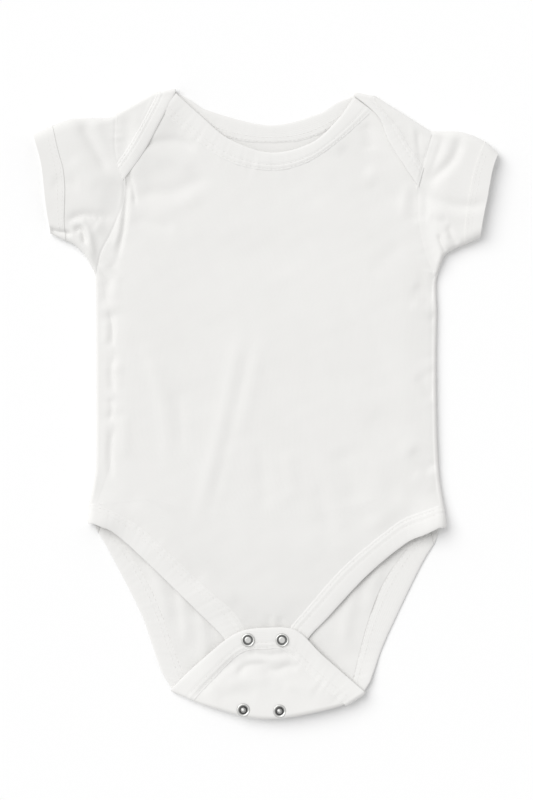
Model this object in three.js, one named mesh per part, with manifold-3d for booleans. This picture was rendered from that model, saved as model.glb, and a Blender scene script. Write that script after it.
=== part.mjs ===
// A short-sleeved baby bodysuit with lapped shoulders and a snap crotch, laid flat with its front up.
//
// Millimetres. The garment lies on z = 0, +Y runs to the neck, +X to the right of the view from above.
// Each piece of cloth is a closed wall: a grid of points in the middle of the cloth, moved out by half
// the cloth's thickness on both sides. Layers, from the surface up: back, front, then the shoulder laps
// and the crotch flap, which are the back's own cloth turned over a fold.

import * as THREE from "three";
import Module from "manifold-3d";
import { mergeVertices } from "three/addons/utils/BufferGeometryUtils.js";

const wasm = await Module();
wasm.setup();

// ---------------------------------------------------------------- driving dimensions

const CLOTH = 1.2; // wall of single jersey
const BAND = 2.0; // wall of a folded binding strip
const GAP = 0.3; // between pieces at a seam
const SEAM = 2.6 * GAP; // a panel's distance from its seam line, so that facets stay a gap apart
const FOLD_RADIUS = 2.5; // middle of the cloth, where the back turns over onto the front
const FOLD_FOOT = 5; // flat stretch before a fold, joined to the back
const ARC_STEPS = 5; // facets round a fold

// Shares of a curve's length.
const ARMHOLE_START = 0.045; // a panel's armhole edge, clear of the shoulder fold and the side seam
const ARMHOLE_END = 0.96;
const LAP_TIP = 0.28; // how far down the armhole a lap's own cloth reaches
const LAP_SEAM_TIP = 0.93; // and along the seam of its binding
const FLAP_START = 0.142; // the flap's own cloth along the crotch fold, between its bindings
const FLAP_END = 0.834;
const CUFF_START = 0.76; // along the sleeve
const CUFF_GAP = 0.008;

const BACK_MIDDLE = CLOTH / 2; // heights of the middle of the cloth
const UPPER_MIDDLE = BACK_MIDDLE + 2 * FOLD_RADIUS;
const BAND_LIFT = (BAND - CLOTH) / 2; // a band's underside is level with its panel's

// ---------------------------------------------------------------- tables

/** Reads a table: a line of column names, then a row of numbers on each line. */
function table(text) {
  const [names, ...rows] = text.raw[0].trim().split("\n").map((line) => line.trim().split(/\s+/));
  return rows.map((row) => Object.fromEntries(names.map((name, i) => [name, Number(row[i])])));
}

// Plan curves. Those down the sides run from the shoulder to the crotch, the others left to right.
// An edge is where cloth ends, a seam is where a binding meets its panel.

const ARMHOLE = {
  left: table`
      x    y
    -97  187
    -98  165
    -94  147
    -96  124
   -101  103
   -111   83`,
  right: table`
      x    y
    108  176
    103  159
     99.5 142
     99  123
    102  104
    111   80`,
};

const SIDE_OUTLINE = {
  left: table`
      x    y
   -111.5  80
   -110    45
   -110   -30
   -112   -48
   -114.5 -62`,
  right: table`
      x    y
    111.5  75
    111    30
    111.5 -15
    113   -45
    116   -63`,
};

const SIDE_SEAM = {
  left: table`
      x    y
   -106   80
    -99   45
    -98    0
   -100  -35
   -108  -61`,
  right: table`
      x    y
    107.5 75
    107.5 30
    108  -15
    109.5 -45
    111.5 -62`,
};

const FRONT_LEG_EDGE = {
  left: table`
      x    y
   -115  -66
   -115  -77
    -98  -84
    -78 -102
    -38 -141
    -27 -153
    -21 -166`,
  right: table`
      x    y
    116.5 -67
    116  -79
     90  -91
     65 -112
     40 -139
     28 -152
     22 -166`,
};

const FRONT_LEG_SEAM = {
  left: table`
      x    y
   -108.5 -65
    -83  -79
    -55 -104
    -37 -121
    -20 -136
    -12 -149
     -7 -166`,
  right: table`
      x    y
    111.5 -66.5
     85  -77
     52 -104
     27 -132
     15 -147
      8 -166`,
};

const BACK_LEG_EDGE = {
  left: table`
      x    y
   -115  -66
   -115  -80
   -101  -98
    -81 -135
    -66 -172
    -57 -184.5`,
  right: table`
      x    y
    116.5 -67
    116  -83
    100 -107
     79 -151
     70 -173
     62 -186`,
};

const BACK_LEG_SEAM = {
  left: table`
      x    y
   -108  -65
   -103  -79
    -89  -95
    -76 -115
    -66 -138
    -58 -161
    -45 -189.5`,
  right: table`
      x    y
    109.5 -66
    103  -81
     87  -98
     74 -118
     65 -142
     58 -168
     50.5 -192`,
};

const FRONT_NECK_EDGE = table`
      x    y
    -57  199.5
    -43  188
    -24  173
      3  164
     29  170
     46  184
     58  197`;

const FRONT_NECK_SEAM = table`
      x    y
    -70  193.5
    -58  182
    -28  159.5
      1  152
     24  156
     45  169
     70  191`;

const BACK_NECK_EDGE = table`
      x    y
    -60  201.5
    -39  192.5
      2  182
     31  188.5
     57  199`;

const BACK_NECK_SEAM = table`
      x    y
    -71  197
    -50  184
    -24  173
      3  170
     33  174.5
     70  194`;

const LAP_EDGE = {
  left: table`
      x    y
    -60  201.5
    -68  185
    -80  163
    -90  148`,
  right: table`
      x    y
     57  199
     73  187
     81  169
     97  144`,
};

const LAP_SEAM = {
  left: table`
      x    y
    -71  197
    -79  184
    -88  165
    -94  153`,
  right: table`
      x    y
     70  194
     86  180
     92  168
    100  153`,
};

const CROTCH_FOLD = table`
      x    y
    -60 -187
    -35 -198
      1 -204.7
     44 -197
     66 -188`;

const FLAP_EDGE = table`
      x    y
    -55 -184
    -43 -168
    -20 -149
      1 -145
     20 -147
     37 -163
     58.5 -186.5`;

const FLAP_SEAM = table`
      x    y
    -43.5 -190
    -34 -179
    -16 -162
      0 -159.5
     12 -160.5
     31 -178
     46.5 -192.5`;

const SLEEVE_TOP = {
  left: table`
      x    y
    -97  187
   -120  185
   -131  183
   -151  174`,
  right: table`
      x    y
    108  176
    126  176.5
    140  172
    150.7 163`,
};

const SLEEVE_UNDER = {
  left: table`
      x    y
   -111   83
   -114   93
   -124  104
   -140  111`,
  right: table`
      x    y
    111   80
    114   93
    124  101
    139  109`,
};

const CUFF_EDGE = {
  left: table`
      x    y
   -151  174
   -146  156
   -143  130
   -140  111`,
  right: table`
      x    y
    150.7 163
    147  150
    143  128
    139  109`,
};

// Height of the middle of the front's cloth along the body, and of the top layer along a sleeve.
const FRONT_HEIGHT = table`
      y  z
   -180  2.7
   -150  2.8
   -120  3.8
    -90  4.8
    -40  5.3
     60  5.1
    110  4.2
    150  3.3
    210  3.1`;

const SLEEVE_HEIGHT = {
  left: table`
      s    z
      0    5.0
      0.5  6.2
      1    6.0`,
  right: table`
      s    z
      0    5.0
      0.5  7.0
      1    7.4`,
};
const LAP_TIP_Y = 147; // above this the sleeve is sewn to the lap, below it to the front

// Folds of the front: from one end to the other, height of the ridge (trough below zero), half width.
const FRONT_FOLDS = table`
     x0   y0   x1   y1    rise  width
     -8   50  -16    8    2.2   6
    -17    5  -36  -62    2.4   7
    -74   38  -60  -28    1.8   7
    -62    8  -58  -38   -1.2   5
    -75  138  -38  148   -1.4   6
    -82  118  -64  108   -1.0   6
    -95  128 -101  100   -1.2   4
     70   88   84  100   -1.0   6
     90  138   88  112    1.6   5
     52  -36   56  -60   -0.9   6
     76  -12   86  -22   -1.0   7
    -50 -122  -24 -124    1.2   6
   -114  -80 -104  -76    3.0  14
    116  -80  106  -78    4.6  15`;

const SLEEVE_FOLDS = table`
     x0   y0   x1   y1    rise  width
   -121  176 -104  147   -1.6   5
   -127  124  -98  124   -1.5   4
    104  144  126  165   -1.8   4
    112  133  138  132   -1.6   4
    118  112  126  110    1.2   5`;

// ---------------------------------------------------------------- plan curves

/** A smooth curve through a table's x and y, as a function of the share of its length. */
function spline(rows) {
  const curve = new THREE.SplineCurve(rows.map(({ x, y }) => new THREE.Vector2(x, y)));
  return (t) => curve.getPointAt(THREE.MathUtils.clamp(t, 0, 1));
}

/** The same curve moved sideways: to the left of its direction for a positive distance. */
function shifted(curve, distance) {
  const step = 0.01;
  return (t) => {
    const along = curve(Math.min(1, t + step)).sub(curve(Math.max(0, t - step))).normalize();
    const point = curve(t);
    return point.set(point.x - along.y * distance, point.y + along.x * distance);
  };
}

const line = (from, to) => (t) => from.clone().lerp(to, t);
const reversed = (curve) => (t) => curve(1 - t);
const stretch = (curve, from, to) => (t) => curve(from + (to - from) * t);

/** Curves end to end as one: each takes the share of the parameter that it is given. */
function joined(...pieces) {
  return (t) => {
    let start = 0;
    for (const { curve, share } of pieces.slice(0, -1)) {
      if (t < start + share) return curve((t - start) / share);
      start += share;
    }
    return pieces[pieces.length - 1].curve((t - start) / (1 - start));
  };
}

/** Plan point of a patch between four curves: top and bottom run in u, left and right in v. */
function patch(top, bottom, left, right) {
  const mix = (a, b, t) => a.clone().lerp(b, t);
  return (u, v) => {
    const corners = mix(mix(top(0), top(1), u), mix(bottom(0), bottom(1), u), v);
    return mix(top(u), bottom(u), v).add(mix(left(v), right(v), u)).sub(corners);
  };
}

// ---------------------------------------------------------------- heights

/** Reads column `out` of a table at a value of column `by`, with smooth steps between the rows. */
function lookUp(rows, by, out, value) {
  const last = rows.length - 1;
  if (value <= rows[0][by]) return rows[0][out];
  if (value >= rows[last][by]) return rows[last][out];
  const i = rows.findIndex((row) => row[by] > value) - 1;
  const share = THREE.MathUtils.smoothstep(value, rows[i][by], rows[i + 1][by]);
  return THREE.MathUtils.lerp(rows[i][out], rows[i + 1][out], share);
}

/** Sum of the folds at a plan point: each is a bell across its line, fading round its ends. */
function foldHeight(folds, x, y) {
  return folds.reduce((sum, { x0, y0, x1, y1, rise, width }) => {
    const [dx, dy] = [x1 - x0, y1 - y0];
    const share = THREE.MathUtils.clamp(((x - x0) * dx + (y - y0) * dy) / (dx * dx + dy * dy), 0, 1);
    const away = Math.hypot(x - x0 - share * dx, y - y0 - share * dy);
    return sum + rise * Math.exp(-((away / width) ** 2));
  }, 0);
}

const frontHeight = (x, y) => lookUp(FRONT_HEIGHT, "y", "z", y) + foldHeight(FRONT_FOLDS, x, y);

// ---------------------------------------------------------------- solids

/** A rows-by-columns grid of points from a function of two shares. */
function grid(rows, columns, pointAt) {
  return Array.from({ length: rows + 1 }, (_, j) =>
    Array.from({ length: columns + 1 }, (__, i) => pointAt(i / columns, j / rows)));
}

/** The cloth's direction out of its face at each grid point, from the neighbours on both sides. */
function faceDirections(points, ring) {
  const columns = points[0].length;
  const pick = (row, i) => row[ring ? (i + columns) % columns : THREE.MathUtils.clamp(i, 0, columns - 1)];
  return points.map((row, j) => row.map((_, i) => {
    const across = pick(row, i + 1).clone().sub(pick(row, i - 1));
    const next = points[Math.min(j + 1, points.length - 1)];
    const previous = points[Math.max(j - 1, 0)];
    return across.cross(next[i].clone().sub(previous[i])).normalize();
  }));
}

/** Closed wall: the grid moved out both ways by half the thickness, with its rims filled. */
function wall(points, thickness, ring = false) {
  const directions = faceDirections(points, ring);
  const [rows, columns] = [points.length, points[0].length];
  const positions = [1, -1].flatMap((side) => points.flatMap((row, j) => row.flatMap((point, i) =>
    point.clone().addScaledVector(directions[j][i], (side * thickness) / 2).toArray())));
  const index = (side, j, i) => side * rows * columns + j * columns + (i % columns);
  const triangles = [];
  const quad = (a, b, c, d) => triangles.push(a, b, c, a, c, d);
  const cells = ring ? columns : columns - 1;
  for (let j = 0; j < rows - 1; j += 1) {
    for (let i = 0; i < cells; i += 1) {
      quad(index(0, j, i), index(0, j, i + 1), index(0, j + 1, i + 1), index(0, j + 1, i));
      quad(index(1, j, i), index(1, j + 1, i), index(1, j + 1, i + 1), index(1, j, i + 1));
    }
    if (!ring) {
      quad(index(0, j, 0), index(0, j + 1, 0), index(1, j + 1, 0), index(1, j, 0));
      quad(index(0, j, cells), index(1, j, cells), index(1, j + 1, cells), index(0, j + 1, cells));
    }
  }
  for (let i = 0; i < cells; i += 1) {
    quad(index(0, 0, i), index(1, 0, i), index(1, 0, i + 1), index(0, 0, i + 1));
    const end = rows - 1;
    quad(index(0, end, i), index(0, end, i + 1), index(1, end, i + 1), index(1, end, i));
  }
  const geometry = new THREE.BufferGeometry();
  geometry.setAttribute("position", new THREE.Float32BufferAttribute(positions, 3));
  geometry.setIndex(triangles);
  return turnedOut(geometry);
}

/** Reverses the triangles of a closed geometry whose faces point in. */
function turnedOut(geometry) {
  const place = geometry.getAttribute("position");
  const index = geometry.getIndex().array;
  const [a, b, c] = [new THREE.Vector3(), new THREE.Vector3(), new THREE.Vector3()];
  let volume = 0;
  for (let i = 0; i < index.length; i += 3) {
    a.fromBufferAttribute(place, index[i]);
    b.fromBufferAttribute(place, index[i + 1]);
    c.fromBufferAttribute(place, index[i + 2]);
    volume += a.dot(b.cross(c));
  }
  if (volume < 0) {
    for (let i = 0; i < index.length; i += 3) [index[i + 1], index[i + 2]] = [index[i + 2], index[i + 1]];
  }
  return geometry;
}

/** One solid from several closed geometries that run into each other. */
function united(geometries) {
  const solids = geometries.map((geometry) => new wasm.Manifold(new wasm.Mesh({
    numProp: 3,
    vertProperties: new Float32Array(geometry.getAttribute("position").array),
    triVerts: new Uint32Array(geometry.getIndex().array),
  })));
  const mesh = solids.reduce((sum, solid) => sum.add(solid)).getMesh();
  const geometry = new THREE.BufferGeometry();
  geometry.setAttribute("position", new THREE.BufferAttribute(mesh.vertProperties, 3));
  geometry.setIndex(new THREE.BufferAttribute(mesh.triVerts, 1));
  return geometry;
}

const atHeight = (plan, z) => new THREE.Vector3(plan.x, plan.y, z);

/** Across-the-strip shares for a number of columns. */
const shares = (columns) => Array.from({ length: columns + 1 }, (_, i) => i / columns);

/**
 * Grid of cloth that turns over a fold. fold(u) is the outline of the fold and far(u) the turned-over
 * cloth's other edge; plan(u, v) runs between them. The rows go from a foot on the surface, round half
 * a circle square to the fold, and on to the far edge.
 */
function turnedOver(plan, topHeight, columns, rows) {
  const low = CLOTH / 2;
  const inward = (u) => {
    const step = 0.02;
    const along = plan(Math.min(1, u + step), 0).sub(plan(Math.max(0, u - step), 0)).normalize();
    const across = new THREE.Vector2(-along.y, along.x);
    return plan(u, 1).sub(plan(u, 0)).dot(across) < 0 ? across.negate() : across;
  };
  const columnsOf = shares(columns).map((u) => {
    const outline = plan(u, 0);
    return { u, outline, inward: inward(u), radius: (topHeight(outline) - low) / 2 };
  });
  const rowOf = (pointAt) => columnsOf.map(pointAt);
  const foot = rowOf(({ outline, inward: side, radius }) =>
    atHeight(outline.clone().addScaledVector(side, CLOTH / 2 + radius + FOLD_FOOT), low));
  const round = shares(ARC_STEPS).map((share) => rowOf(({ outline, inward: side, radius }) => {
    const turn = Math.PI * share;
    const reach = CLOTH / 2 + radius * (1 - Math.sin(turn));
    return atHeight(outline.clone().addScaledVector(side, reach), low + radius * (1 - Math.cos(turn)));
  }));
  const on = shares(rows).slice(1).map((share) => rowOf(({ u, outline, inward: side, radius }) => {
    const reach = CLOTH / 2 + radius;
    const begin = Math.min(0.9, reach / plan(u, 1).distanceTo(outline));
    const slip = outline.clone().addScaledVector(side, reach).sub(plan(u, begin));
    const point = plan(u, THREE.MathUtils.lerp(begin, 1, share)).addScaledVector(slip, (1 - share) ** 2);
    return atHeight(point, topHeight(point));
  }));
  return [foot, ...round, ...on];
}

/**
 * Grid of a binding strip over one or more stretches. Each stretch has an outer edge, an inner seam and
 * a height; between two stretches the strip goes round a fold, half a circle square to its last row.
 */
function bindingGrid(stretches, columns = 2) {
  const rowOf = ({ edge, seam, height }, t) => shares(columns).map((u) => {
    const point = edge(t).lerp(seam(t), u);
    return atHeight(point, height(point));
  });
  return stretches.flatMap((piece, k) => {
    const rows = shares(piece.steps).map((t) => rowOf(piece, t));
    if (k === stretches.length - 1) return rows;
    const [last, before] = [rows[rows.length - 1], rows[rows.length - 2]];
    const next = rowOf(stretches[k + 1], 0);
    const chord = last[columns].clone().sub(last[0]).setZ(0).normalize();
    const onward = new THREE.Vector3(-chord.y, chord.x, 0);
    if (onward.dot(last[1].clone().sub(before[1])) < 0) onward.negate();
    const round = shares(ARC_STEPS).slice(1, -1).map((share) => last.map((point, i) => {
      const turn = Math.PI * share;
      const radius = Math.abs(next[i].z - point.z) / 2;
      return point.clone().lerp(next[i], (1 - Math.cos(turn)) / 2)
        .addScaledVector(onward, radius * Math.sin(turn));
    }));
    return [...rows, ...round];
  });
}

/** Flat tube over a plan patch: the lower layer rests on the surface, the upper one has a height. */
function tubeGrid(plan, height, from, to, steps, thickness) {
  const around = 20;
  const low = thickness / 2;
  return shares(steps).map((share) => {
    const s = THREE.MathUtils.lerp(from, to, share);
    return Array.from({ length: around }, (_, i) => {
      const turn = (2 * Math.PI * i) / around;
      const point = plan(s, (1 - Math.cos(turn)) / 2);
      const high = height(s, point) + low - CLOTH / 2;
      const rise = 0.5 + 0.5 * Math.sign(Math.sin(turn)) * Math.sqrt(Math.abs(Math.sin(turn)));
      return atHeight(point, THREE.MathUtils.lerp(low, high, rise));
    });
  });
}

// ---------------------------------------------------------------- pieces

const inwardSign = { left: 1, right: -1 }; // +X is inward on the left
const bandHeight = ({ x, y }) => frontHeight(x, y) + BAND_LIFT;
const onSurface = () => BAND / 2;
const onUpperLayer = () => UPPER_MIDDLE + BAND_LIFT;

/** A panel's edge down one side, a gap inside its seams: armhole, side, then leg. */
function panelEdge(side, sideCurve, legSeam) {
  const armhole = stretch(spline(ARMHOLE[side]), ARMHOLE_START, ARMHOLE_END);
  return joined(
    { curve: shifted(armhole, inwardSign[side] * GAP), share: 1 / 3 },
    { curve: sideCurve, share: 1 / 3 },
    { curve: shifted(spline(legSeam[side]), inwardSign[side] * SEAM), share: 1 / 3 },
  );
}

/** A panel's top edge: along the neck seam, with a straight stretch to each armhole. */
function panelTop(left, right, neck) {
  return joined(
    { curve: line(left(0), neck(0)), share: 0.16 },
    { curve: neck, share: 0.68 },
    { curve: line(neck(1), right(0)), share: 0.16 },
  );
}

/** The back's own layer, and the four places where it turns over onto the front, as one piece. */
function backPanel() {
  const inset = CLOTH / 2 + FOLD_RADIUS + FOLD_FOOT / 2;
  const sideInset = (side) => shifted(spline(SIDE_OUTLINE[side]), inwardSign[side] * inset);
  const [left, right] = ["left", "right"].map((side) =>
    panelEdge(side, sideInset(side), BACK_LEG_SEAM));
  const top = panelTop(left, right, shifted(spline(BACK_NECK_SEAM), -SEAM));
  const bottom = shifted(stretch(spline(CROTCH_FOLD), FLAP_START, FLAP_END), inset);
  const plan = patch(top, bottom, left, right);
  const layer = grid(24, 14, (u, v) => atHeight(plan(u, v), BACK_MIDDLE));

  const sideTurn = (side) => {
    const [outline, seam] = [spline(SIDE_OUTLINE[side]), spline(SIDE_SEAM[side])];
    return turnedOver((u, v) => outline(u).lerp(seam(u), v), ({ x, y }) => frontHeight(x, y), 10, 1);
  };
  const lap = (side) => {
    const armhole = shifted(stretch(spline(ARMHOLE[side]), 0, LAP_TIP), inwardSign[side] * GAP);
    const seam = shifted(stretch(spline(LAP_SEAM[side]), 0, LAP_SEAM_TIP), -inwardSign[side] * SEAM);
    const bandEnd = spline(LAP_SEAM[side])(0).sub(spline(LAP_EDGE[side])(0)).normalize();
    const outward = new THREE.Vector2(bandEnd.y, -bandEnd.x).multiplyScalar(inwardSign[side]);
    const besideBand = spline(LAP_SEAM[side])(0).addScaledVector(bandEnd, SEAM);
    const outline = besideBand.clone().addScaledVector(outward, FOLD_RADIUS + BAND / 2);
    const inner = joined({ curve: line(outline, besideBand), share: 0.06 }, { curve: seam });
    return turnedOver((u, v) => armhole(v).lerp(inner(v), u), () => UPPER_MIDDLE, 4, 5);
  };
  const fold = stretch(spline(CROTCH_FOLD), FLAP_START, FLAP_END);
  const arch = shifted(spline(FLAP_SEAM), -SEAM);
  const flap = turnedOver((u, v) => fold(u).lerp(arch(u), v), () => UPPER_MIDDLE, 14, 4);
  const turns = [sideTurn("left"), sideTurn("right"), lap("left"), lap("right"), flap];
  return united([layer, ...turns].map((points) => wall(points, CLOTH)));
}

function frontPanel() {
  const [left, right] = ["left", "right"].map((side) =>
    panelEdge(side, shifted(spline(SIDE_SEAM[side]), inwardSign[side] * SEAM), FRONT_LEG_SEAM));
  const top = panelTop(left, right, shifted(spline(FRONT_NECK_SEAM), -SEAM));
  const plan = patch(top, line(left(1), right(1)), left, right);
  return wall(grid(27, 18, (u, v) => {
    const point = plan(u, v);
    return atHeight(point, frontHeight(point.x, point.y));
  }), CLOTH);
}

function sleevePart(side, from, to, steps, thickness) {
  const armhole = shifted(spline(ARMHOLE[side]), -inwardSign[side] * GAP);
  const plan = patch(
    spline(SLEEVE_TOP[side]), spline(SLEEVE_UNDER[side]), armhole, spline(CUFF_EDGE[side]),
  );
  const height = (s, { x, y }) => {
    const sewnTo = y > LAP_TIP_Y ? UPPER_MIDDLE : frontHeight(x, y);
    const free = lookUp(SLEEVE_HEIGHT[side], "s", "z", s) + foldHeight(SLEEVE_FOLDS, x, y);
    return THREE.MathUtils.lerp(sewnTo, free, THREE.MathUtils.smoothstep(s, 0, 0.35));
  };
  return wall(tubeGrid(plan, height, from, to, steps, thickness), thickness, true);
}

/** A binding strip on one layer. */
const band = (edge, seam, steps, height) =>
  wall(bindingGrid([{ edge: spline(edge), seam: spline(seam), steps, height }]), BAND);

/** One strip: up the left lap's edge, over the fold, along the back neck, and down the right lap. */
function backNeckBand() {
  const lap = (side) => ({
    edge: spline(LAP_EDGE[side]), seam: spline(LAP_SEAM[side]), steps: 7, height: onUpperLayer,
  });
  const { edge, seam, ...rest } = lap("left");
  const neck = {
    edge: spline(BACK_NECK_EDGE), seam: spline(BACK_NECK_SEAM), steps: 16, height: onSurface,
  };
  const leftLap = { edge: reversed(edge), seam: reversed(seam), ...rest };
  return wall(bindingGrid([leftLap, neck, lap("right")]), BAND);
}

/** One strip: down the left leg edge of the back, over the fold, round the flap, and up the right. */
function backLegBand() {
  const leg = (side) => ({
    edge: spline(BACK_LEG_EDGE[side]), seam: spline(BACK_LEG_SEAM[side]), steps: 12, height: onSurface,
  });
  const { edge, seam, ...rest } = leg("right");
  const flap = {
    edge: spline(FLAP_EDGE), seam: spline(FLAP_SEAM), steps: 20, height: onUpperLayer,
  };
  const rightLeg = { edge: reversed(edge), seam: reversed(seam), ...rest };
  return wall(bindingGrid([leg("left"), flap, rightLeg]), BAND);
}

const SNAP_FACETS = 14;

/** A turned metal part from its half profile, standing on a height. */
function turnedPart(profile, x, y, z) {
  const lathe = new THREE.LatheGeometry(profile.map(({ r, h }) => new THREE.Vector2(r, h)), SNAP_FACETS);
  lathe.deleteAttribute("normal");
  lathe.deleteAttribute("uv");
  const geometry = mergeVertices(lathe, 1e-4);
  geometry.rotateX(Math.PI / 2);
  geometry.translate(x, y, z);
  return turnedOut(geometry);
}

const SOCKET_PROFILE = table`
     r    h
     0    0
     4.5  0
     4.5  0.5
     4.1  0.95
     3.6  0.95
     3.2  0.45
     2.5  0.45
     2.1  0.8
     0    0.8`;
const STUD_PROFILE = table`
     r    h
     0    0
     4.5  0
     4.5  0.4
     4.0  0.8
     3.0  0.5
     2.3  0.6
     2.1  1.5
     1.2  2.0
     0    2.0`;
const MATE_PROFILE = table`
     r    h
     0    0
     4.5  0
     4.5  0.4
     0    0.4`;

// Where the snaps sit: the closed pair in the flap's edge, the second pair low on the flap.
const SNAPS = table`
     closed     x     y
       1     -11.5  -153
       1      10.5  -153
       0     -14.5  -198
       0       9.5  -198.5`;

// ---------------------------------------------------------------- the garment

const jersey = () => new THREE.MeshStandardMaterial({ color: 0xf1f1ef, roughness: 0.95, metalness: 0 });
const metal = () => new THREE.MeshStandardMaterial({ color: 0xb9b9b6, roughness: 0.3, metalness: 1 });

const garment = new THREE.Group();
function add(name, geometry, material) {
  const mesh = new THREE.Mesh(geometry, material);
  mesh.name = name;
  garment.add(mesh);
}

add("back_panel", backPanel(), jersey());
add("front_panel", frontPanel(), jersey());
add("neck_band_front", band(FRONT_NECK_EDGE, FRONT_NECK_SEAM, 18, bandHeight), jersey());
add("neck_band_back", backNeckBand(), jersey());
add("leg_band_back", backLegBand(), jersey());
for (const side of ["left", "right"]) {
  const legBand = band(FRONT_LEG_EDGE[side], FRONT_LEG_SEAM[side], 16, bandHeight);
  add(`leg_band_front_${side}`, legBand, jersey());
  add(`sleeve_${side}`, sleevePart(side, 0, CUFF_START - CUFF_GAP, 6, CLOTH), jersey());
  add(`cuff_${side}`, sleevePart(side, CUFF_START, 1, 2, BAND), jersey());
}
for (const { closed, x, y } of SNAPS) {
  const side = x < 0 ? "left" : "right";
  if (closed) {
    const top = UPPER_MIDDLE + BAND_LIFT + BAND / 2;
    add(`snap_socket_${side}`, turnedPart(SOCKET_PROFILE, x, y, top + GAP / 2), metal());
    const bandTop = bandHeight({ x, y }) + BAND / 2;
    add(`snap_mate_${side}`, turnedPart(MATE_PROFILE, x, y, bandTop + GAP / 2), metal());
  } else {
    const top = UPPER_MIDDLE + CLOTH / 2;
    add(`snap_stud_${side}`, turnedPart(STUD_PROFILE, x, y, top + GAP / 2), metal());
  }
}

export default garment;
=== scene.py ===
# %% [markdown]
# # A baby bodysuit laid flat
# The garment is soft white cotton jersey with short sleeves, lapped shoulders and a snap crotch. It was
# sewn from a few flat pieces, and it lies in layers: the back first, the front on it, and on top the
# shoulder laps and the crotch flap, which are the back's own cloth turned over a fold. We rebuild each
# piece as a thin surface in that order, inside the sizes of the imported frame.

import bmesh
import bpy
import numpy as np
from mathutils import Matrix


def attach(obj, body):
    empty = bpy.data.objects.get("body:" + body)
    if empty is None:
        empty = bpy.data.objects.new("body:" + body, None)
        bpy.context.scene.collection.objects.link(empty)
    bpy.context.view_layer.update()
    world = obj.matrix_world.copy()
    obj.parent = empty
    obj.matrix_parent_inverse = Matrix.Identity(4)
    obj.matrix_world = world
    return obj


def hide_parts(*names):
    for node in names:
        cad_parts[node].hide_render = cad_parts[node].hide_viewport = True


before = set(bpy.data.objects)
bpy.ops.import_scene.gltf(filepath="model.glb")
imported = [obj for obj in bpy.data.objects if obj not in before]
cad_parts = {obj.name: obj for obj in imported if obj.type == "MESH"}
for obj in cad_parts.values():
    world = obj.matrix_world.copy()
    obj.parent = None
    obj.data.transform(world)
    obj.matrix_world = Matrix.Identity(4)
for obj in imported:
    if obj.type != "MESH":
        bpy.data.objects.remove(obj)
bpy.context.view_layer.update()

# %% [markdown]
# ## Camera
# Clothes for sale are often shown from straight above. A long lens held high keeps the outline true,
# because the raised layers then hardly lean outwards. The camera looks down its own -Z, so with no turn
# at all it looks at the table with the neck of the garment up.

# %% Camera
LENS, SENSOR = 100.0, 36.0
FIELD_HEIGHT = 0.520  # metres of table from the top to the bottom of the view
VIEW_CENTRE = (0.0004, 0.0029)
VIEW_LEVEL = 0.005  # the field is measured at this height, halfway up the garment
camera_data = bpy.data.cameras.new("camera")
camera_data.lens, camera_data.sensor_width = LENS, SENSOR
camera = bpy.data.objects.new("camera", camera_data)
camera.location = (*VIEW_CENTRE, VIEW_LEVEL + FIELD_HEIGHT * LENS / SENSOR)
bpy.context.scene.collection.objects.link(camera)
bpy.context.scene.camera = camera
print("camera height", round(camera.location.z, 3))

# %% [markdown]
# ## Pattern lines
# A pattern cutter draws smooth curves through a few measured points. We do the same: each table below is
# a line on the table top, in millimetres, with the neck towards +Y. An edge is where cloth ends and a
# seam is where a binding meets its panel. Lines down the sides run from shoulder to crotch, and the
# others run left to right.

# %% Sizes
MM = 0.001
SIDES = ("left", "right")
INWARD = {"left": 1, "right": -1}  # which way along X is inward
CLOTH, BAND = 1.2, 1.4  # room that a layer of cloth takes up, and a folded binding's thickness
CLOTH_SHOWN = 0.9  # thickness of the cloth itself
TUCK = 1.2  # a panel's raw edge runs this far into the folded binding that holds it
OVERLAP = 0.4  # two panels sewn edge to edge run this far into each other, so that no gap shows
FOLD_RADIUS = 2.5  # where the back turns over at the shoulders and the crotch
BACK_MIDDLE = CLOTH / 2  # height of the middle of the back's cloth
UPPER_MIDDLE = BACK_MIDDLE + 2 * FOLD_RADIUS  # and of cloth turned over on to the front
BAND_LIFT = 0.3  # a binding's middle lies this far above the middle of its panel
print("height of cloth turned over at a fold, mm:", UPPER_MIDDLE)

# %% Pattern lines
ARMHOLE = {
    "left": [(-97.5, 189), (-98, 165), (-92.5, 146), (-94.5, 127), (-101, 111), (-107.5, 98), (-110.5, 81)],
    "right": [(108.5, 177), (103, 159), (99.5, 142), (99, 123), (102, 104), (110.5, 79)],
}
SIDE_OUTLINE = {
    "left": [(-112, 92), (-111.2, 82), (-110.8, 45), (-110.6, -30), (-112.3, -50), (-115, -63), (-116, -67)],
    "right": [(112.5, 87), (111, 78), (111.5, 60), (111, 30), (111.5, -15), (113, -45), (115.5, -62),
              (116.5, -68)],
}
SIDE_SEAM = {
    "left": [(-108, 91), (-106, 82), (-102, 62), (-99, 45), (-98, 0), (-100, -35), (-107, -58), (-110, -67)],
    "right": [(108.5, 87), (107.7, 78), (107.5, 30), (108, -15), (109.5, -45), (111.5, -62), (112.5, -68)],
}
FRONT_LEG_EDGE = {
    "left": [(-112, -77.5), (-107, -79.5), (-98, -84), (-78, -102), (-38, -141), (-27, -153), (-21, -166)],
    "right": [(112.5, -80), (103.5, -84.5), (90, -91), (65, -112), (40, -139), (28, -152), (22, -166)],
}
FRONT_LEG_SEAM = {
    "left": [(-112, -64.5), (-106, -66.5), (-83, -79), (-55, -104), (-37, -121), (-20, -136), (-12, -149),
             (-7, -166)],
    "right": [(112.5, -65.5), (100, -70), (85, -77), (52, -104), (27, -132), (15, -147), (8, -166)],
}
BACK_LEG_EDGE = {
    "left": [(-109, -84), (-101, -98), (-82, -135), (-72, -163), (-68, -174), (-61.5, -185)],
    "right": [(109.5, -91), (100, -107), (79, -151), (70.6, -173), (67.8, -180.5), (64, -186.3)],
}
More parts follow.
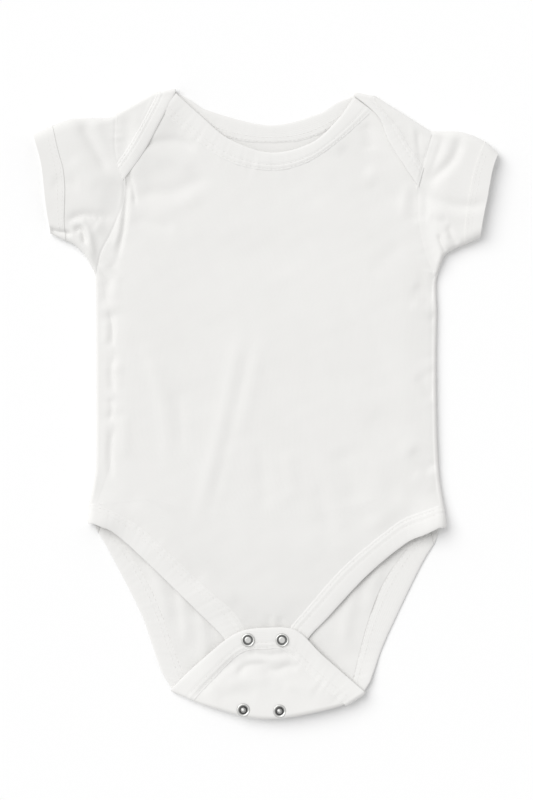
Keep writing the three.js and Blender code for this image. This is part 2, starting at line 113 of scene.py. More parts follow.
BACK_LEG_SEAM = {
    "left": [(-106.5, -73), (-100, -82), (-89, -95), (-76, -115), (-66, -138), (-58, -161), (-45.5, -191.3)],
    "right": [(106, -77), (98, -86), (87, -98), (74, -118), (65, -142), (58, -168), (51.5, -194.2)],
}
LEG_CORNER_EDGE = {  # a leg binding's last stretch on the back, before it goes round the side fold
    "left": [(-109, -84), (-111, -81), (-112, -77.5)],
    "right": [(109.5, -91), (111.5, -86), (112.5, -80)],
}
LEG_CORNER_SEAM = {
    "left": [(-106.5, -73), (-109.5, -69), (-112, -64.5)],
    "right": [(106, -77), (109.5, -71.5), (112.5, -65.5)],
}
FRONT_NECK_EDGE = [(-59, 203), (-43, 188.5), (-24, 173), (3, 164), (29, 170), (46, 184.5), (57.5, 200.5)]
FRONT_NECK_SEAM = [(-70, 193.5), (-58, 182), (-28, 159.5), (1, 152), (24, 156), (45, 169), (70, 191)]
BACK_NECK_EDGE = [(-58.3, 203.4), (-48.5, 198), (-36, 191), (2, 182), (33, 189), (46, 196.5), (57, 201)]
BACK_NECK_SEAM = [(-71.5, 200.5), (-50, 184), (-24, 173), (3, 170), (33, 174.5), (71, 198)]
LAP_EDGE = {
    "left": [(-58.5, 203.4), (-68, 185), (-80, 163), (-93, 145.5)],
    "right": [(57, 201), (73, 187), (81, 169), (99.5, 141)],
}
LAP_SEAM = {
    "left": [(-71.5, 200.5), (-80, 184), (-90, 167), (-97, 156.5)],
    "right": [(71, 198), (86, 180), (93, 168), (103, 154)],
}
CROTCH_FOLD = [(-61, -187), (-36, -197), (1, -204.7), (44, -197.3), (63, -188.5)]
FLAP_EDGE = [(-61.5, -185), (-45, -169), (-20, -149), (1, -145), (20, -147), (37, -163), (63.5, -186)]
FLAP_SEAM = [(-45.5, -191.3), (-34, -179), (-16, -162), (0, -159.5), (12, -160.5), (31, -178), (50.5, -194)]
SLEEVE_TOP = {
    "left": [(-97.5, 189), (-104, 186.3), (-121, 185.8), (-132, 184), (-151, 175)],
    "right": [(108.5, 177), (126, 176.8), (140, 172), (150.7, 163)],
}
SLEEVE_UNDER = {
    "left": [(-110.5, 81), (-113.5, 89), (-118.5, 98), (-125, 104.5), (-132, 108), (-140, 112)],
    "right": [(110.5, 79), (113, 88), (116, 96.5), (119, 99.5), (127, 103.5), (139, 109)],
}
CUFF_EDGE = {
    "left": [(-151, 175), (-146, 156), (-143, 130), (-140, 112)],
    "right": [(150.7, 163), (147, 152), (143.5, 133), (141, 121), (139, 109)],
}
print("crotch to back neck, mm:", BACK_NECK_EDGE[3][1] - CROTCH_FOLD[2][1],
      "cuff to cuff:", CUFF_EDGE["right"][0][0] - CUFF_EDGE["left"][0][0])

# %% Smooth curves
SPAN_STEPS = 60  # fine points to each span of a table
NUDGE = 0.01  # share of a curve over which its direction is taken


def run_along(points):
    """Length of a line up to each of its points: the running sum of its steps."""
    return np.r_[0, np.cumsum(np.linalg.norm(np.diff(points, axis=0), axis=1))]


def smooth_line(table, share):
    """Points on the smooth line through a table, at shares of its length. Each span is the cubic whose
    slope at a table point is half the step between that point's two neighbours."""
    knots = np.asarray(table, float)
    ends = np.vstack([knots[:1], knots, knots[-1:]])
    fine = np.linspace(0, len(knots) - 1, SPAN_STEPS * len(knots))
    span = np.minimum(fine.astype(int), len(knots) - 2)
    t = (fine - span)[:, None]
    before, start, end, after = (ends[span + k] for k in range(4))
    leave, arrive = (end - before) / 2, (after - start) / 2
    line = (start + leave * t + (3 * (end - start) - 2 * leave - arrive) * t**2
            + (2 * (start - end) + leave + arrive) * t**3)
    length = run_along(line)
    place = np.clip(share, 0, 1) * length[-1]
    return np.stack([np.interp(place, length, line[:, axis]) for axis in (0, 1)], -1)


def spline(table):
    """The smooth line through a table, as a function of the share of its length."""
    return lambda share: smooth_line(table, share)


def straight(start, end):
    """The straight line between two points: the start plus a share of the step to the end."""
    return lambda share: start + (end - start) * np.asarray(share)[..., None]


def reversed_line(curve):
    """The same curve run from its other end."""
    return lambda share: curve(1 - share)


def stretch(curve, start, end):
    """The part of a curve between two shares of it."""
    return lambda share: curve(start + (end - start) * share)


def shifted(curve, distance):
    """The curve moved sideways, to the left of its direction for a positive distance."""
    def moved(share):
        way = curve(np.minimum(1, share + NUDGE)) - curve(np.maximum(0, share - NUDGE))
        way = way / np.linalg.norm(way, axis=-1, keepdims=True)
        return curve(share) + distance * np.stack([-way[..., 1], way[..., 0]], -1)
    return moved

# %% Curves put together
def joined(*parts):
    """Curves end to end as one; each part is a curve and the share of the parameter that it takes."""
    def whole(share):
        share = np.asarray(share, float)
        point, start = None, 0.0
        for curve, part in parts:
            here = curve(np.clip((share - start) / part, 0, 1))
            point = here if point is None else np.where((share >= start)[..., None], here, point)
            start += part
        return point
    return whole


def patch(top, bottom, left, right, across, down):
    """Points between four curves: the mean of the top-to-bottom blend and the left-to-right blend, less
    the blend of the four corners, so that all four edges are kept exactly."""
    u, v = across[None, :, None], down[:, None, None]
    upper, lower = top(across)[None], bottom(across)[None]
    one, other = left(down)[:, None], right(down)[:, None]
    start, end = np.array(0.0), np.array(1.0)
    corners = ((top(start) * (1 - u) + top(end) * u) * (1 - v)
               + (bottom(start) * (1 - u) + bottom(end) * u) * v)
    return upper * (1 - v) + lower * v + one * (1 - u) + other * u - corners


print("front neck edge, mm:", run_along(spline(FRONT_NECK_EDGE)(np.linspace(0, 1, 99)))[-1].round(1))

# %% [markdown]
# ## How high the cloth lies
# Seen from above, light cloth shows its shape only through soft shading, so the heights matter more than
# anything else. The top layer's height is a sum of simple fields: a slow level down the body, a few
# broad undulations, listed folds, and the puckers that sewing thread pulls into a seam. Because all
# pieces read the same fields, a fold runs on over a seam as it does in real cloth.

# %% Smooth steps and waves
def smooth_step(value):
    """3 v squared less 2 v cubed, for a value held between 0 and 1."""
    value = np.clip(value, 0, 1)
    return value * value * (3 - 2 * value)


def look_up(table, value):
    """Second column of a table at a value of the first, with smooth steps between the rows."""
    rows = np.array(table, float)
    i = np.clip(np.searchsorted(rows[:, 0], value) - 1, 0, len(rows) - 2)
    share = smooth_step((value - rows[i, 0]) / (rows[i + 1, 0] - rows[i, 0]))
    return rows[i, 1] + (rows[i + 1, 1] - rows[i, 1]) * share


def waves(size, count, seed):
    """A field of unevenly mixed plane waves: the mean of sines whose directions and starts are random and
    whose lengths lie round a size."""
    pick = np.random.default_rng(seed)
    turn, start = pick.uniform(0, 2 * np.pi, (2, count))
    length = size * pick.uniform(0.7, 1.6, count)

    def field(x, y):
        way = (np.multiply.outer(x, np.cos(turn)) + np.multiply.outer(y, np.sin(turn))) / length
        return np.sin(2 * np.pi * way + start).mean(-1) * np.sqrt(2.0)
    return field

# %% Folds and puckers
FOLD_POINTS, SEAM_POINTS = 9, 25  # how finely a fold's and a seam's line are measured
DIP_WIDTH = 0.9  # of the dip along a sewing thread
DIP_END = 0.5  # the dip fades within this distance past a seam's end


def near_line(line, x, y):
    """For each point: distance to a line of points, which side it is on (+1 is left of the direction),
    and the share of the line's length at the nearest place."""
    away, side, share = (np.full(np.shape(x), value) for value in (np.inf, 1.0, 0.0))
    length = run_along(line)
    for k, (start, way) in enumerate(zip(line[:-1], np.diff(line, axis=0))):
        part = np.clip(((x - start[0]) * way[0] + (y - start[1]) * way[1]) / (way @ way), 0, 1)
        dx, dy = x - start[0] - part * way[0], y - start[1] - part * way[1]
        here = np.hypot(dx, dy)
        closer = here < away
        away = np.where(closer, here, away)
        side = np.where(closer, np.sign(way[0] * dy - way[1] * dx), side)
        share = np.where(closer, (length[k] + part * (length[k + 1] - length[k])) / length[-1], share)
    return away, side, share


def fold_height(folds, x, y):
    """Sum of folds: each is a bell across its line, with a width of its own on either side, and fades
    in and out over a quarter of its length. A trough has a negative rise."""
    total = np.zeros(np.shape(x))
    for rise, left_width, right_width, points in folds:
        away, side, share = near_line(smooth_line(points, np.linspace(0, 1, FOLD_POINTS)), x, y)
        width = np.where(side > 0, left_width, right_width)
        fade = smooth_step(share * 4) * smooth_step((1 - share) * 4)
        total += rise * fade * np.exp(-((away / width) ** 2))
    return total


def puckers(seams, x, y):
    """Sum of what sewing does beside seams: a narrow dip along the thread, and short ripples square to
    it that die away within their reach. Two waves beat together, so that no two ripples are alike."""
    total = np.zeros(np.shape(x))
    for k, (curve, dip, rise, reach, pitch) in enumerate(seams):
        line = curve(np.linspace(0, 1, SEAM_POINTS))
        away, _, share = near_line(line, x, y)
        run = share * run_along(line)[-1] * 2 * np.pi / pitch
        ripple = np.sin(run + k) + 0.8 * np.sin(run * 0.61 + 2 * k) + 0.6 * np.sin(run * 1.37 + 1.3)
        uneven = 0.5 + 0.5 * np.sin(run * 0.13 + k) * np.sin(run * 0.071 + 1)
        inside = (share > 0.001) & (share < 0.999)
        total += np.where(inside, rise * ripple * uneven, 0) * np.exp(-((away / reach) ** 2))
        total -= dip * np.exp(-((away / DIP_WIDTH) ** 2)) * np.exp(-((1 - inside) * away / DIP_END))
    return total


print("middle of a fold 1 mm high:", fold_height([(1, 4, 4, [(-20, 0), (20, 0)])], np.zeros(1), np.zeros(1)))

# %% Level and folds of the front
FRONT_LEVEL = [(-180, 2.7), (-150, 2.8), (-120, 3.8), (-90, 4.8), (-40, 5.3), (60, 5.1), (110, 4.2),
               (150, 3.3), (210, 3.1)]

# Each fold: rise, width on its left, width on its right, and points along it.
FRONT_FOLDS = [
    # the long soft drapes of the body
    (0.65, 9, 5, [(-14, 58), (-21, 22), (-28, -12), (-37, -48), (-48, -88)]),
    (-0.5, 4, 5, [(-7, 54), (-14, 22), (-22, -12), (-31, -48), (-40, -84)]),
    (0.4, 5, 6, [(-3, 44), (-9, 12), (-17, -22)]),
    (0.55, 8, 5, [(-80, 46), (-70, 14), (-66, -6), (-64, -26), (-65, -50)]),
    (-0.4, 4, 6, [(-58, 12), (-56, -8), (-56, -34)]),
    (-0.4, 5, 5, [(-4, -24), (-2, -45), (0, -72)]),
    (0.4, 5, 5, [(13, -28), (16, -45), (17, -64)]),
    (-0.4, 5, 5, [(32, -52), (38, -70), (44, -88)]),
    (-0.6, 8, 7, [(46, -26), (54, -48), (60, -70)]),
    (0.5, 9, 9, [(70, -30), (74, -50), (72, -74)]),
    (-0.4, 10, 9, [(68, -2), (80, -14), (94, -28)]),
    # the front held up along the edges of the laps
    (1.7, 10, 4, [(-56, 212), (-68, 187), (-81, 164), (-94, 140)]),
    (0.7, 4, 6, [(56, 204), (72, 188), (83, 168), (100, 140)]),
    # left chest, under the lap
    (-0.9, 3, 4, [(-84, 166), (-74, 170), (-58, 172), (-44, 165)]),
    (0.5, 5, 6, [(-78, 158), (-62, 161), (-46, 152)]),
    (-0.8, 5, 5, [(-88, 132), (-76, 137), (-60, 139), (-34, 150)]),
    (0.4, 5, 6, [(-78, 126), (-60, 128), (-40, 138)]),
    (-0.6, 4, 5, [(-88, 121), (-76, 118), (-58, 114)]),
    # creases that hang from the tip of the left lap
    (-1.0, 1.4, 2.2, [(-88, 154), (-91, 132), (-92, 115), (-95.5, 99), (-98, 88)]),
    (-0.8, 2.4, 3.0, [(-97, 96), (-102, 81), (-104, 66)]),
    (0.6, 1.6, 1.8, [(-91.5, 144), (-94, 126), (-96, 112), (-101, 98)]),
    (-0.9, 1.2, 1.8, [(-90, 153), (-87.5, 146), (-85.5, 136), (-84.5, 128)]),
    (0.3, 2.5, 2.5, [(-88, 142), (-88, 128), (-90, 114)]),
    (0.35, 3.0, 3.0, [(-94, 92), (-97, 78), (-98, 64)]),
    # pulls along the left side seam
    (-0.9, 1.8, 2.6, [(-101.5, 62), (-99.5, 50), (-100.5, 36)]),
    (0.35, 2.8, 2.4, [(-104.5, 56), (-104, 48), (-105, 38)]),
    (-0.85, 1.8, 2.6, [(-99, 32), (-100.5, 20), (-98.8, 6)]),
    (0.3, 2.6, 3.4, [(-94, 37), (-95.5, 22), (-95, 8)]),
    (-0.8, 1.8, 2.2, [(-102, 5), (-100, -2), (-101.5, -12)]),
    (-0.85, 1.9, 2.8, [(-99, -14), (-101, -30), (-100, -50)]),
    (0.3, 2.8, 2.8, [(-105, -8), (-104.5, -26), (-106, -42)]),
    (0.4, 4, 4, [(-92, -4), (-92, -20), (-93, -36)]),
    # right chest
    (-0.7, 4, 5, [(64, 184), (67, 176), (69, 164)]),
    (-0.8, 5, 5, [(46, 168), (58, 159), (70, 150)]),
    (-0.6, 6, 5, [(66, 146), (79, 137), (92, 132)]),
    (0.35, 3.0, 3.5, [(94, 146), (90, 134), (88.5, 118)]),
    (-0.4, 3, 3, [(97, 140), (96, 128), (97, 114)]),
    (-0.4, 5, 5, [(66, 84), (78, 95), (90, 106)]),
    (-0.8, 4, 5, [(96, 78), (103, 73), (110, 68)]),
    (0.6, 4, 5, [(94, 66), (101, 61), (109, 55)]),
    (-0.7, 4, 4, [(98, 20), (104, 12), (109, 2)]),
    (-0.9, 4, 5, [(94, -28), (102, -36), (110, -44)]),
    (0.5, 4, 5, [(96, -44), (103, -50), (110, -56)]),
    # above the legs and at the crotch
    (0.5, 5, 6, [(-44, -112), (-30, -122), (-18, -130)]),
    (-0.3, 3, 3, [(1, -136), (2, -141), (1, -150)]),
    (-0.3, 2.5, 3, [(10, -137), (10, -143), (8, -152)]),
    (0.2, 2.5, 2.5, [(5, -134), (6, -141), (5, -150)]),
    (0.5, 6, 6, [(-90, -64), (-72, -76), (-58, -90)]),
    (0.6, 6, 6, [(96, -60), (80, -70), (64, -84)]),
]
# Where the leg openings stand up a little: the place, the rise and the width of a bell.
CORNER_LIFT = [((-110, -79), 3.0, 13), ((111, -79), 4.4, 14)]
LAP_SEWN = 0.3  # share of an armhole, from the top, that is sewn to the lap

# Each seam: its line, the dip along its thread, and the rise, reach and pitch of its ripples.
FRONT_SEAMS = [
    (spline(SIDE_SEAM["left"]), 0.10, 0.22, 7.0, 13.0),
    (spline(SIDE_SEAM["right"]), 0.22, 0.25, 5.0, 12.0),
    (stretch(spline(ARMHOLE["left"]), LAP_SEWN, 1), 0.35, 0.20, 4.0, 9.0),
    (stretch(spline(ARMHOLE["right"]), LAP_SEWN, 1), 0.12, 0.20, 5.0, 8.0),
    (spline(FRONT_NECK_SEAM), 0.0, 0.07, 5.0, 8.0),
    *((spline(FRONT_LEG_SEAM[side]), 0.0, 0.05, 5.0, 7.0) for side in SIDES),
]

# %% Unevenness of the cloth
middling, small = waves(30, 12, 2), waves(14, 16, 6)
RUMPLE = [(0.45, waves(70, 9, 1)), (0.25, middling), (0.13, small), (0.015, waves(7, 16, 3))]


def rumple(x, y):
    """The slow unevenness of cloth that was dropped and patted flat: a sum of waves of four sizes."""
    return sum(rise * field(x, y) for rise, field in RUMPLE)


print("rumple in the middle, mm:", rumple(np.zeros(1), np.zeros(1)).round(2))

# %% Height of the front
BODY_FROM, BODY_TO, BODY_BLEND = -90, 110, 40  # the stretch of body that falls away to its sides
SIDE_FALL, FALL_FROM, FALL_OVER = 1.3, 88, 24  # depth of the fall, where out it starts, over how far
CROTCH_RISE, CROTCH_FROM, CROTCH_OVER = 3.0, -160, 45  # the crotch end's rise, where it starts, over how far
CROTCH_LEAN, LEAN_LIMIT = 90, 0.7  # it doubles over this distance to the right, but changes by this at most


def front_height(x, y):
    """Height of the middle of the front's cloth: level down the body, less a gentle fall to the sides,
    plus waves, folds, puckers, and a bell at each corner that stands up."""
    body = smooth_step((y - BODY_FROM) / BODY_BLEND) * smooth_step((BODY_TO - y) / BODY_BLEND)
    height = look_up(FRONT_LEVEL, y) - SIDE_FALL * body * smooth_step((np.abs(x) - FALL_FROM) / FALL_OVER)
    height = height + rumple(x, y)
    for (cx, cy), rise, width in CORNER_LIFT:
        height = height + rise * np.exp(-((x - cx) ** 2 + (y - cy) ** 2) / width**2)
    height = height + fold_height(FRONT_FOLDS, x, y) + puckers(FRONT_SEAMS, x, y)
    return np.maximum(height, BACK_MIDDLE + CLOTH)


def crotch_lift(x, y):
    """The springy fold at the crotch holds its end a little off the table, more on the right: a smooth
    step down the garment times a slope across it."""
    slope = 1 + np.clip(x / CROTCH_LEAN, -LEAN_LIMIT, LEAN_LIMIT)
    return CROTCH_RISE * slope * smooth_step((CROTCH_FROM - y) / CROTCH_OVER)


probe = front_height(*np.meshgrid(np.linspace(-90, 90, 40), np.linspace(-60, 140, 40)))
print("front height over the body, mm:", probe.min().round(2), "to", probe.max().round(2))

# %% [markdown]
# ## From numbers to a mesh
# A grid of points becomes a mesh with one four-sided face for each cell. Its UV map is the real distance
# along the grid in millimetres, so that a knitted pattern keeps its gauge on every piece. An open grid
# gets its thickness from a Solidify modifier; a closed ring of points is already solid.

# %% Mesh helpers
def grid_cells(points, ring, first_vertex):
    """Corner numbers of each cell of a grid and the UV of each corner, in millimetres of cloth along the
    middle row and the middle column. A ring's last column meets its first."""
    rows, columns = points.shape[:2]
    down, across = np.mgrid[0:rows - 1, 0:columns if ring else columns - 1]
    following = (across + 1) % columns
    corners = np.stack([down * columns + across, down * columns + following,
                        (down + 1) * columns + following, (down + 1) * columns + across], -1)
    middle_row = points[rows // 2]
    middle_row = np.vstack([middle_row, middle_row[:1]]) if ring else middle_row
    run_across, run_down = run_along(middle_row), run_along(points[:, columns // 2])
    place = np.stack([run_across[np.stack([across, across + 1, across + 1, across], -1)],
                      run_down[np.stack([down, down, down + 1, down + 1], -1)]], -1)
    return first_vertex + corners.reshape(-1, 4), place.reshape(-1, 2)


def faces_outward(points, faces):
    """True if the signed volume under the faces of a closed shape is positive."""
    a, b, c, d = (points[faces[:, k]] for k in range(4))
    return np.einsum("ij,ij->", a, np.cross(b, c)) + np.einsum("ij,ij->", a, np.cross(c, d)) > 0


def make_piece(name, grids, material, ring=False, caps=False, thickness=None):
    """One object from one or more grids of points in millimetres. A ring's columns close on themselves,
    caps fill its two ends with flat faces, and a thickness is shared out on both sides of the grid."""
    vertices, faces, places, ends, count = [], [], [], [], 0
    for points in grids:
        cells, place = grid_cells(points, ring, count)
        flat = points.reshape(-1, 3)
        if ring and not faces_outward(flat, cells - count):
            cells, place = cells[:, ::-1], place.reshape(-1, 4, 2)[:, ::-1].reshape(-1, 2)
        if caps:
            columns = points.shape[1]
            first = count + np.arange(columns)
            last = count + len(flat) - columns + np.arange(columns)
            turned = cells[0, 1] != first[1]  # the end faces run against their neighbours
            ends += [first if turned else first[::-1], last[::-1] if turned else last]
        vertices.append(flat)
        faces.append(cells)
        places.append(place)
        count += len(flat)
    mesh = bpy.data.meshes.new(name)
    mesh.from_pydata((np.vstack(vertices) * MM).tolist(), [],
                     np.vstack(faces).tolist() + [end.tolist() for end in ends])
    uv = np.vstack(places + [np.zeros((sum(map(len, ends)), 2))])
    mesh.uv_layers.new(name="cloth").data.foreach_set("uv", uv.astype(np.float32).ravel())
    mesh.polygons.foreach_set("use_smooth", np.arange(len(mesh.polygons)) < len(mesh.polygons) - len(ends))
    mesh.materials.append(material)
    mesh.update()
    piece = bpy.data.objects.new(name, mesh)
    bpy.context.scene.collection.objects.link(piece)
    if thickness:
        edge_of = np.empty(len(mesh.loops), np.int32)
        mesh.loops.foreach_get("edge_index", edge_of)
        rims = np.bincount(edge_of, minlength=len(mesh.edges)) == 1
        mesh.attributes.new("sharp_edge", "BOOLEAN", "EDGE").data.foreach_set("value", rims)
        solid = piece.modifiers.new("thickness", "SOLIDIFY")
        solid.thickness, solid.offset, solid.use_quality_normals = thickness * MM, 0, True
    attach(piece, "root")
    print(name, len(mesh.polygons), "faces")
    return piece

# %% [markdown]
# ## Cloth, thread and metal
# Cotton jersey is matt, slightly warm white, with a soft bloom at grazing angles from its loose fibres,
# which Sheen gives. Close up it is rows of tiny loops: columns of ridges called wales, crossed by
# courses. A product of two sines of the UV map makes that relief, and only as bump, because the loops are
# under a millimetre. The bindings are knitted a little tighter. Snaps are plated brass pressed in a die.

# %% Material helpers
def node(tree, kind, inputs=None, **settings):
    """A new node with its settings, its inputs either linked from sockets or given as values."""
    made = tree.nodes.new(kind)
    for key, value in settings.items():
        setattr(made, key, value)
    for key, value in (inputs or {}).items():
        if isinstance(value, bpy.types.NodeSocket):
            tree.links.new(value, made.inputs[key])
        else:
            made.inputs[key].default_value = value
    return made


def math(tree, operation, *values):
    """The result of one operation on one, two or three values or sockets."""
    return node(tree, "ShaderNodeMath", dict(enumerate(values)), operation=operation).outputs[0]


def object_place(tree):
    """Object coordinates, which lie in the piece's own mesh."""
    return node(tree, "ShaderNodeTexCoord").outputs["Object"]


def noise(tree, scale, detail):
    """Noise on Object coordinates, about scale cells to the metre."""
    return node(tree, "ShaderNodeTexNoise", {"Vector": object_place(tree), "Scale": scale,
                                             "Detail": detail}).outputs[0]


def add_bump(tree, shader, height, distance, strength=1.0):
    """Tilts the shader's normal as a relief would, whose height is a socket and its distance in metres."""
    bump = node(tree, "ShaderNodeBump", {"Height": height, "Distance": distance, "Strength": strength})
    tree.links.new(bump.outputs[0], shader.inputs["Normal"])


def add_mixed_colour(tree, shader, share, one, other):
    """Base colour that goes from one colour to another with a share."""
    mix = node(tree, "ShaderNodeMix", {0: share, 6: one, 7: other}, data_type="RGBA")
    tree.links.new(mix.outputs[2], shader.inputs["Base Color"])


def new_material(name, **sockets):
    """A material, its node tree and its shader, whose sockets are set by name."""
    material = bpy.data.materials.new(name)
    material.use_nodes = True
    shader = material.node_tree.nodes["Principled BSDF"]
    for key, value in sockets.items():
        shader.inputs[key.replace("_", " ")].default_value = value
    return material, material.node_tree, shader

# %% Knitted cotton
COURSE_DEPTH = 0.35  # how much of a ridge the courses dent
FUZZ_DEPTH = 0.4


def knitted(name, pale, deep, wale, course, relief):
    """Knitted cotton: ridges |sin| across the wales, each dented by the courses, with a slow drift of
    colour and a fine fuzz. Wale and course are in millimetres, relief in metres."""
    material, tree, shader = new_material(name, Roughness=0.92, Sheen_Weight=0.25, Sheen_Roughness=0.6,
                                          Specular_IOR_Level=0.2)
    place = node(tree, "ShaderNodeSeparateXYZ", {0: node(tree, "ShaderNodeUVMap", uv_map="cloth").outputs[0]})

    def ridges(axis, gap):
        wave = math(tree, "SINE", math(tree, "MULTIPLY", place.outputs[axis], np.pi / gap))
        return math(tree, "ABSOLUTE", wave)

    loops = math(tree, "MULTIPLY_ADD", ridges(1, course), COURSE_DEPTH, 1 - COURSE_DEPTH)
    knit = math(tree, "MULTIPLY", ridges(0, wale), loops)
    fuzz = math(tree, "MULTIPLY", noise(tree, 1400.0, 2.0), FUZZ_DEPTH)
    add_bump(tree, shader, math(tree, "ADD", knit, fuzz), relief, 0.6)
    add_mixed_colour(tree, shader, noise(tree, 22.0, 3.0), pale, deep)
    return material

# %% Thread and metal
def twisted_thread():
    """Sewing thread: slanting waves of relief for its twist."""
    material, tree, shader = new_material("thread", Base_Color=(0.84, 0.83, 0.81, 1), Roughness=0.6,
                                          Sheen_Weight=0.2)
    twist = node(tree, "ShaderNodeTexWave", {"Vector": object_place(tree), "Scale": 900.0,
                                             "Distortion": 1.0}, bands_direction="DIAGONAL")
    add_bump(tree, shader, twist.outputs["Fac"], 0.00004)
    return material


def worn_metal_with_painted_shade(name, bright, dark):
    """Plated metal: noise in its roughness and relief, and a colour darkened by a point attribute, which is
    painted shade in its grooves, on its knob's side, at its rim's edge and underneath.
    """
    material, tree, shader = new_material(name, Metallic=1.0, Roughness=0.42, Base_Color=bright)
    wear = noise(tree, 900.0, 4.0)
    rough = node(tree, "ShaderNodeMapRange", {0: wear, 3: 0.34, 4: 0.5})
    tree.links.new(rough.outputs[0], shader.inputs["Roughness"])
    add_bump(tree, shader, wear, 0.00002)
    # Painted shade: this attribute darkens the colour in the grooves, on the knob's side, at the rim's edge
    # and underneath.
    painted_shade = node(tree, "ShaderNodeAttribute", attribute_name="painted_shade").outputs["Fac"]
    add_mixed_colour(tree, shader, painted_shade, bright, dark)
    return material

# %% Materials of this garment
jersey = knitted("jersey", (0.822, 0.816, 0.80, 1), (0.80, 0.793, 0.777, 1), 0.8, 0.62, 0.00006)
rib = knitted("rib", (0.838, 0.832, 0.817, 1), (0.815, 0.808, 0.792, 1), 1.1, 0.7, 0.00009)
thread = twisted_thread()
# The snap metal's second colour is painted shade, for its grooves, rim edges and underside.
snap_metal = worn_metal_with_painted_shade("snap_metal", (0.80, 0.80, 0.78, 1), (0.07, 0.07, 0.07, 1))
print("materials:", [material.name for material in (jersey, rib, thread, snap_metal)])

# %% [markdown]
# ## The back
# The back is one piece of cloth. It lies flat underneath, its sides wrap round on to the top, and it
# turns over at the shoulders and at the crotch to make the laps and the flap. Each turn is a strip that
# goes from a foot under the garment, round half a circle, and on over the top.

# %% Panel edges
THIRD = 1 / 3
ARMHOLE_START, ARMHOLE_END = 0.045, 0.96  # the part of an armhole that the panels reach
SIDE_START = 0.065  # the side folds run up past the ends of the armholes by this share
SHOULDER_SHARE, NECK_SHARE = 0.16, 0.68  # of the parameter across a panel's top


def panel_edge(side, side_curve, leg_seam):
    """A panel's edge down one side: armhole, side, then leg, each a third of the way."""
    armhole = stretch(spline(ARMHOLE[side]), ARMHOLE_START, ARMHOLE_END)
    return joined((shifted(armhole, -INWARD[side] * OVERLAP), THIRD), (side_curve, THIRD),
                  (shifted(spline(leg_seam[side]), -INWARD[side] * TUCK), THIRD))


def panel_top(left, right, neck):
    """A panel's top edge: a straight stretch from each armhole, and the neck seam between."""
    return joined((straight(left(0.0), neck(0.0)), SHOULDER_SHARE), (neck, NECK_SHARE),
                  (straight(neck(1.0), right(0.0)), SHOULDER_SHARE))


def with_height(plan, height):
    """Plan points and their heights as points in space."""
    return np.dstack([plan, np.broadcast_to(height, plan.shape[:2])])


left_edge = panel_edge("left", spline(SIDE_SEAM["left"]), FRONT_LEG_SEAM)
print("left edge of the front, mm:", run_along(left_edge(np.linspace(0, 1, 99)))[-1].round(1))

# %% A strip turned over a fold
FOOT, FOOT_LIFT = 8.0, 0.35  # a strip's foot is this long and lies on the back layer, not in it
ARC_STEPS = 14
LATEST_START = 0.9  # the flat part takes up at least the last tenth of the plan


def turned_over(plan, top_height, columns, rows):
    """plan(u, v) gives the turned cloth, from the fold's outline at v = 0 to its far edge at v = 1. The
    rows start on a foot, go round a half circle square to the fold, whose radius is half the height
    to climb, and then slide on to the plan."""
    u = np.linspace(0, 1, columns + 1)
    outline = plan(u, np.zeros_like(u))
    way = np.gradient(outline, axis=0)
    way /= np.linalg.norm(way, axis=1, keepdims=True)
    side = np.stack([-way[:, 1], way[:, 0]], -1)
    inward = np.sign(np.einsum("ij,ij->i", plan(u, np.ones_like(u)) - outline, side))[:, None] * side
    base = BACK_MIDDLE + crotch_lift(outline[:, 0], outline[:, 1])
    radius = (top_height(outline[:, 0], outline[:, 1]) - base) / 2
    reach = CLOTH / 2 + radius
    foot_row = outline + inward * (reach + FOOT)[:, None]
    foot_row = np.c_[foot_row, BACK_MIDDLE + FOOT_LIFT + crotch_lift(*foot_row.T)][None]
    turn = np.linspace(0, np.pi, ARC_STEPS + 1)[:, None]
    step_in = CLOTH / 2 + radius * (1 - np.sin(turn))
    arc = np.dstack([outline + inward * step_in[..., None], base + radius * (1 - np.cos(turn))])
    share = np.linspace(0, 1, rows + 1)[1:, None]
    begin = np.minimum(LATEST_START, reach / np.linalg.norm(plan(u, np.ones_like(u)) - outline, axis=1))
    slip = outline + inward * reach[:, None] - plan(u, begin)
    flat = plan(np.broadcast_to(u, (rows, len(u))), begin + (1 - begin) * share)
    flat = flat + slip * ((1 - share) ** 2)[..., None]
    start = outline + inward * reach[:, None]
    step_up = base + 2 * radius - top_height(start[:, 0], start[:, 1])
    height = top_height(flat[..., 0], flat[..., 1]) + step_up * (1 - share) ** 2
    return np.concatenate([foot_row, arc, with_height(flat, height)])


def between(start, end):
    """The plan that goes straight from one curve to another."""
    return lambda u, v: start(u) * (1 - v[..., None]) + end(u) * v[..., None]

# %% Heights of the upper layer
LAP_LEVEL = [(140, 4.3), (160, 4.8), (185, 4.9), (205, 4.4)]  # the laps lie down on the front's neck
LAP_FOLDS = [
    (0.5, 6, 8, [(-60, 208), (-71, 186), (-84, 165), (-96, 146)]),
    (-0.5, 4, 4, [(-92, 188), (-90, 174), (-94, 160)]),
    (0.4, 5, 4, [(-84, 192), (-83, 178), (-90, 160)]),
    (-0.5, 2.5, 2.5, [(100, 182), (99, 168), (101, 150)]),
    (0.4, 2.5, 2.5, [(94, 184), (97, 168), (101, 150)]),
]
FLAP_FOLDS = [
    (-0.8, 3.0, 3.0, [(-47, -191), (-38, -182), (-26, -171), (-14, -163)]),
    (-0.7, 1.8, 2.4, [(-18, -163), (-8, -161.5), (2, -163), (14, -161.5), (22, -166)]),
    (0.5, 2.5, 2.5, [(-16, -167), (0, -166), (16, -167)]),
    (-0.9, 2.5, 3.0, [(-20, -178), (-13, -170), (-4, -168.5), (4, -169)]),
    (-0.9, 2.5, 3.0, [(-4, -171), (6, -173), (15, -170), (22, -172)]),
    (0.5, 4, 4, [(-28, -184), (-14, -179), (4, -180)]),
    (-0.4, 4, 4, [(-34, -192), (-20, -188), (-4, -189)]),
    (0.5, 4, 4, [(10, -184), (22, -183), (34, -187)]),
]
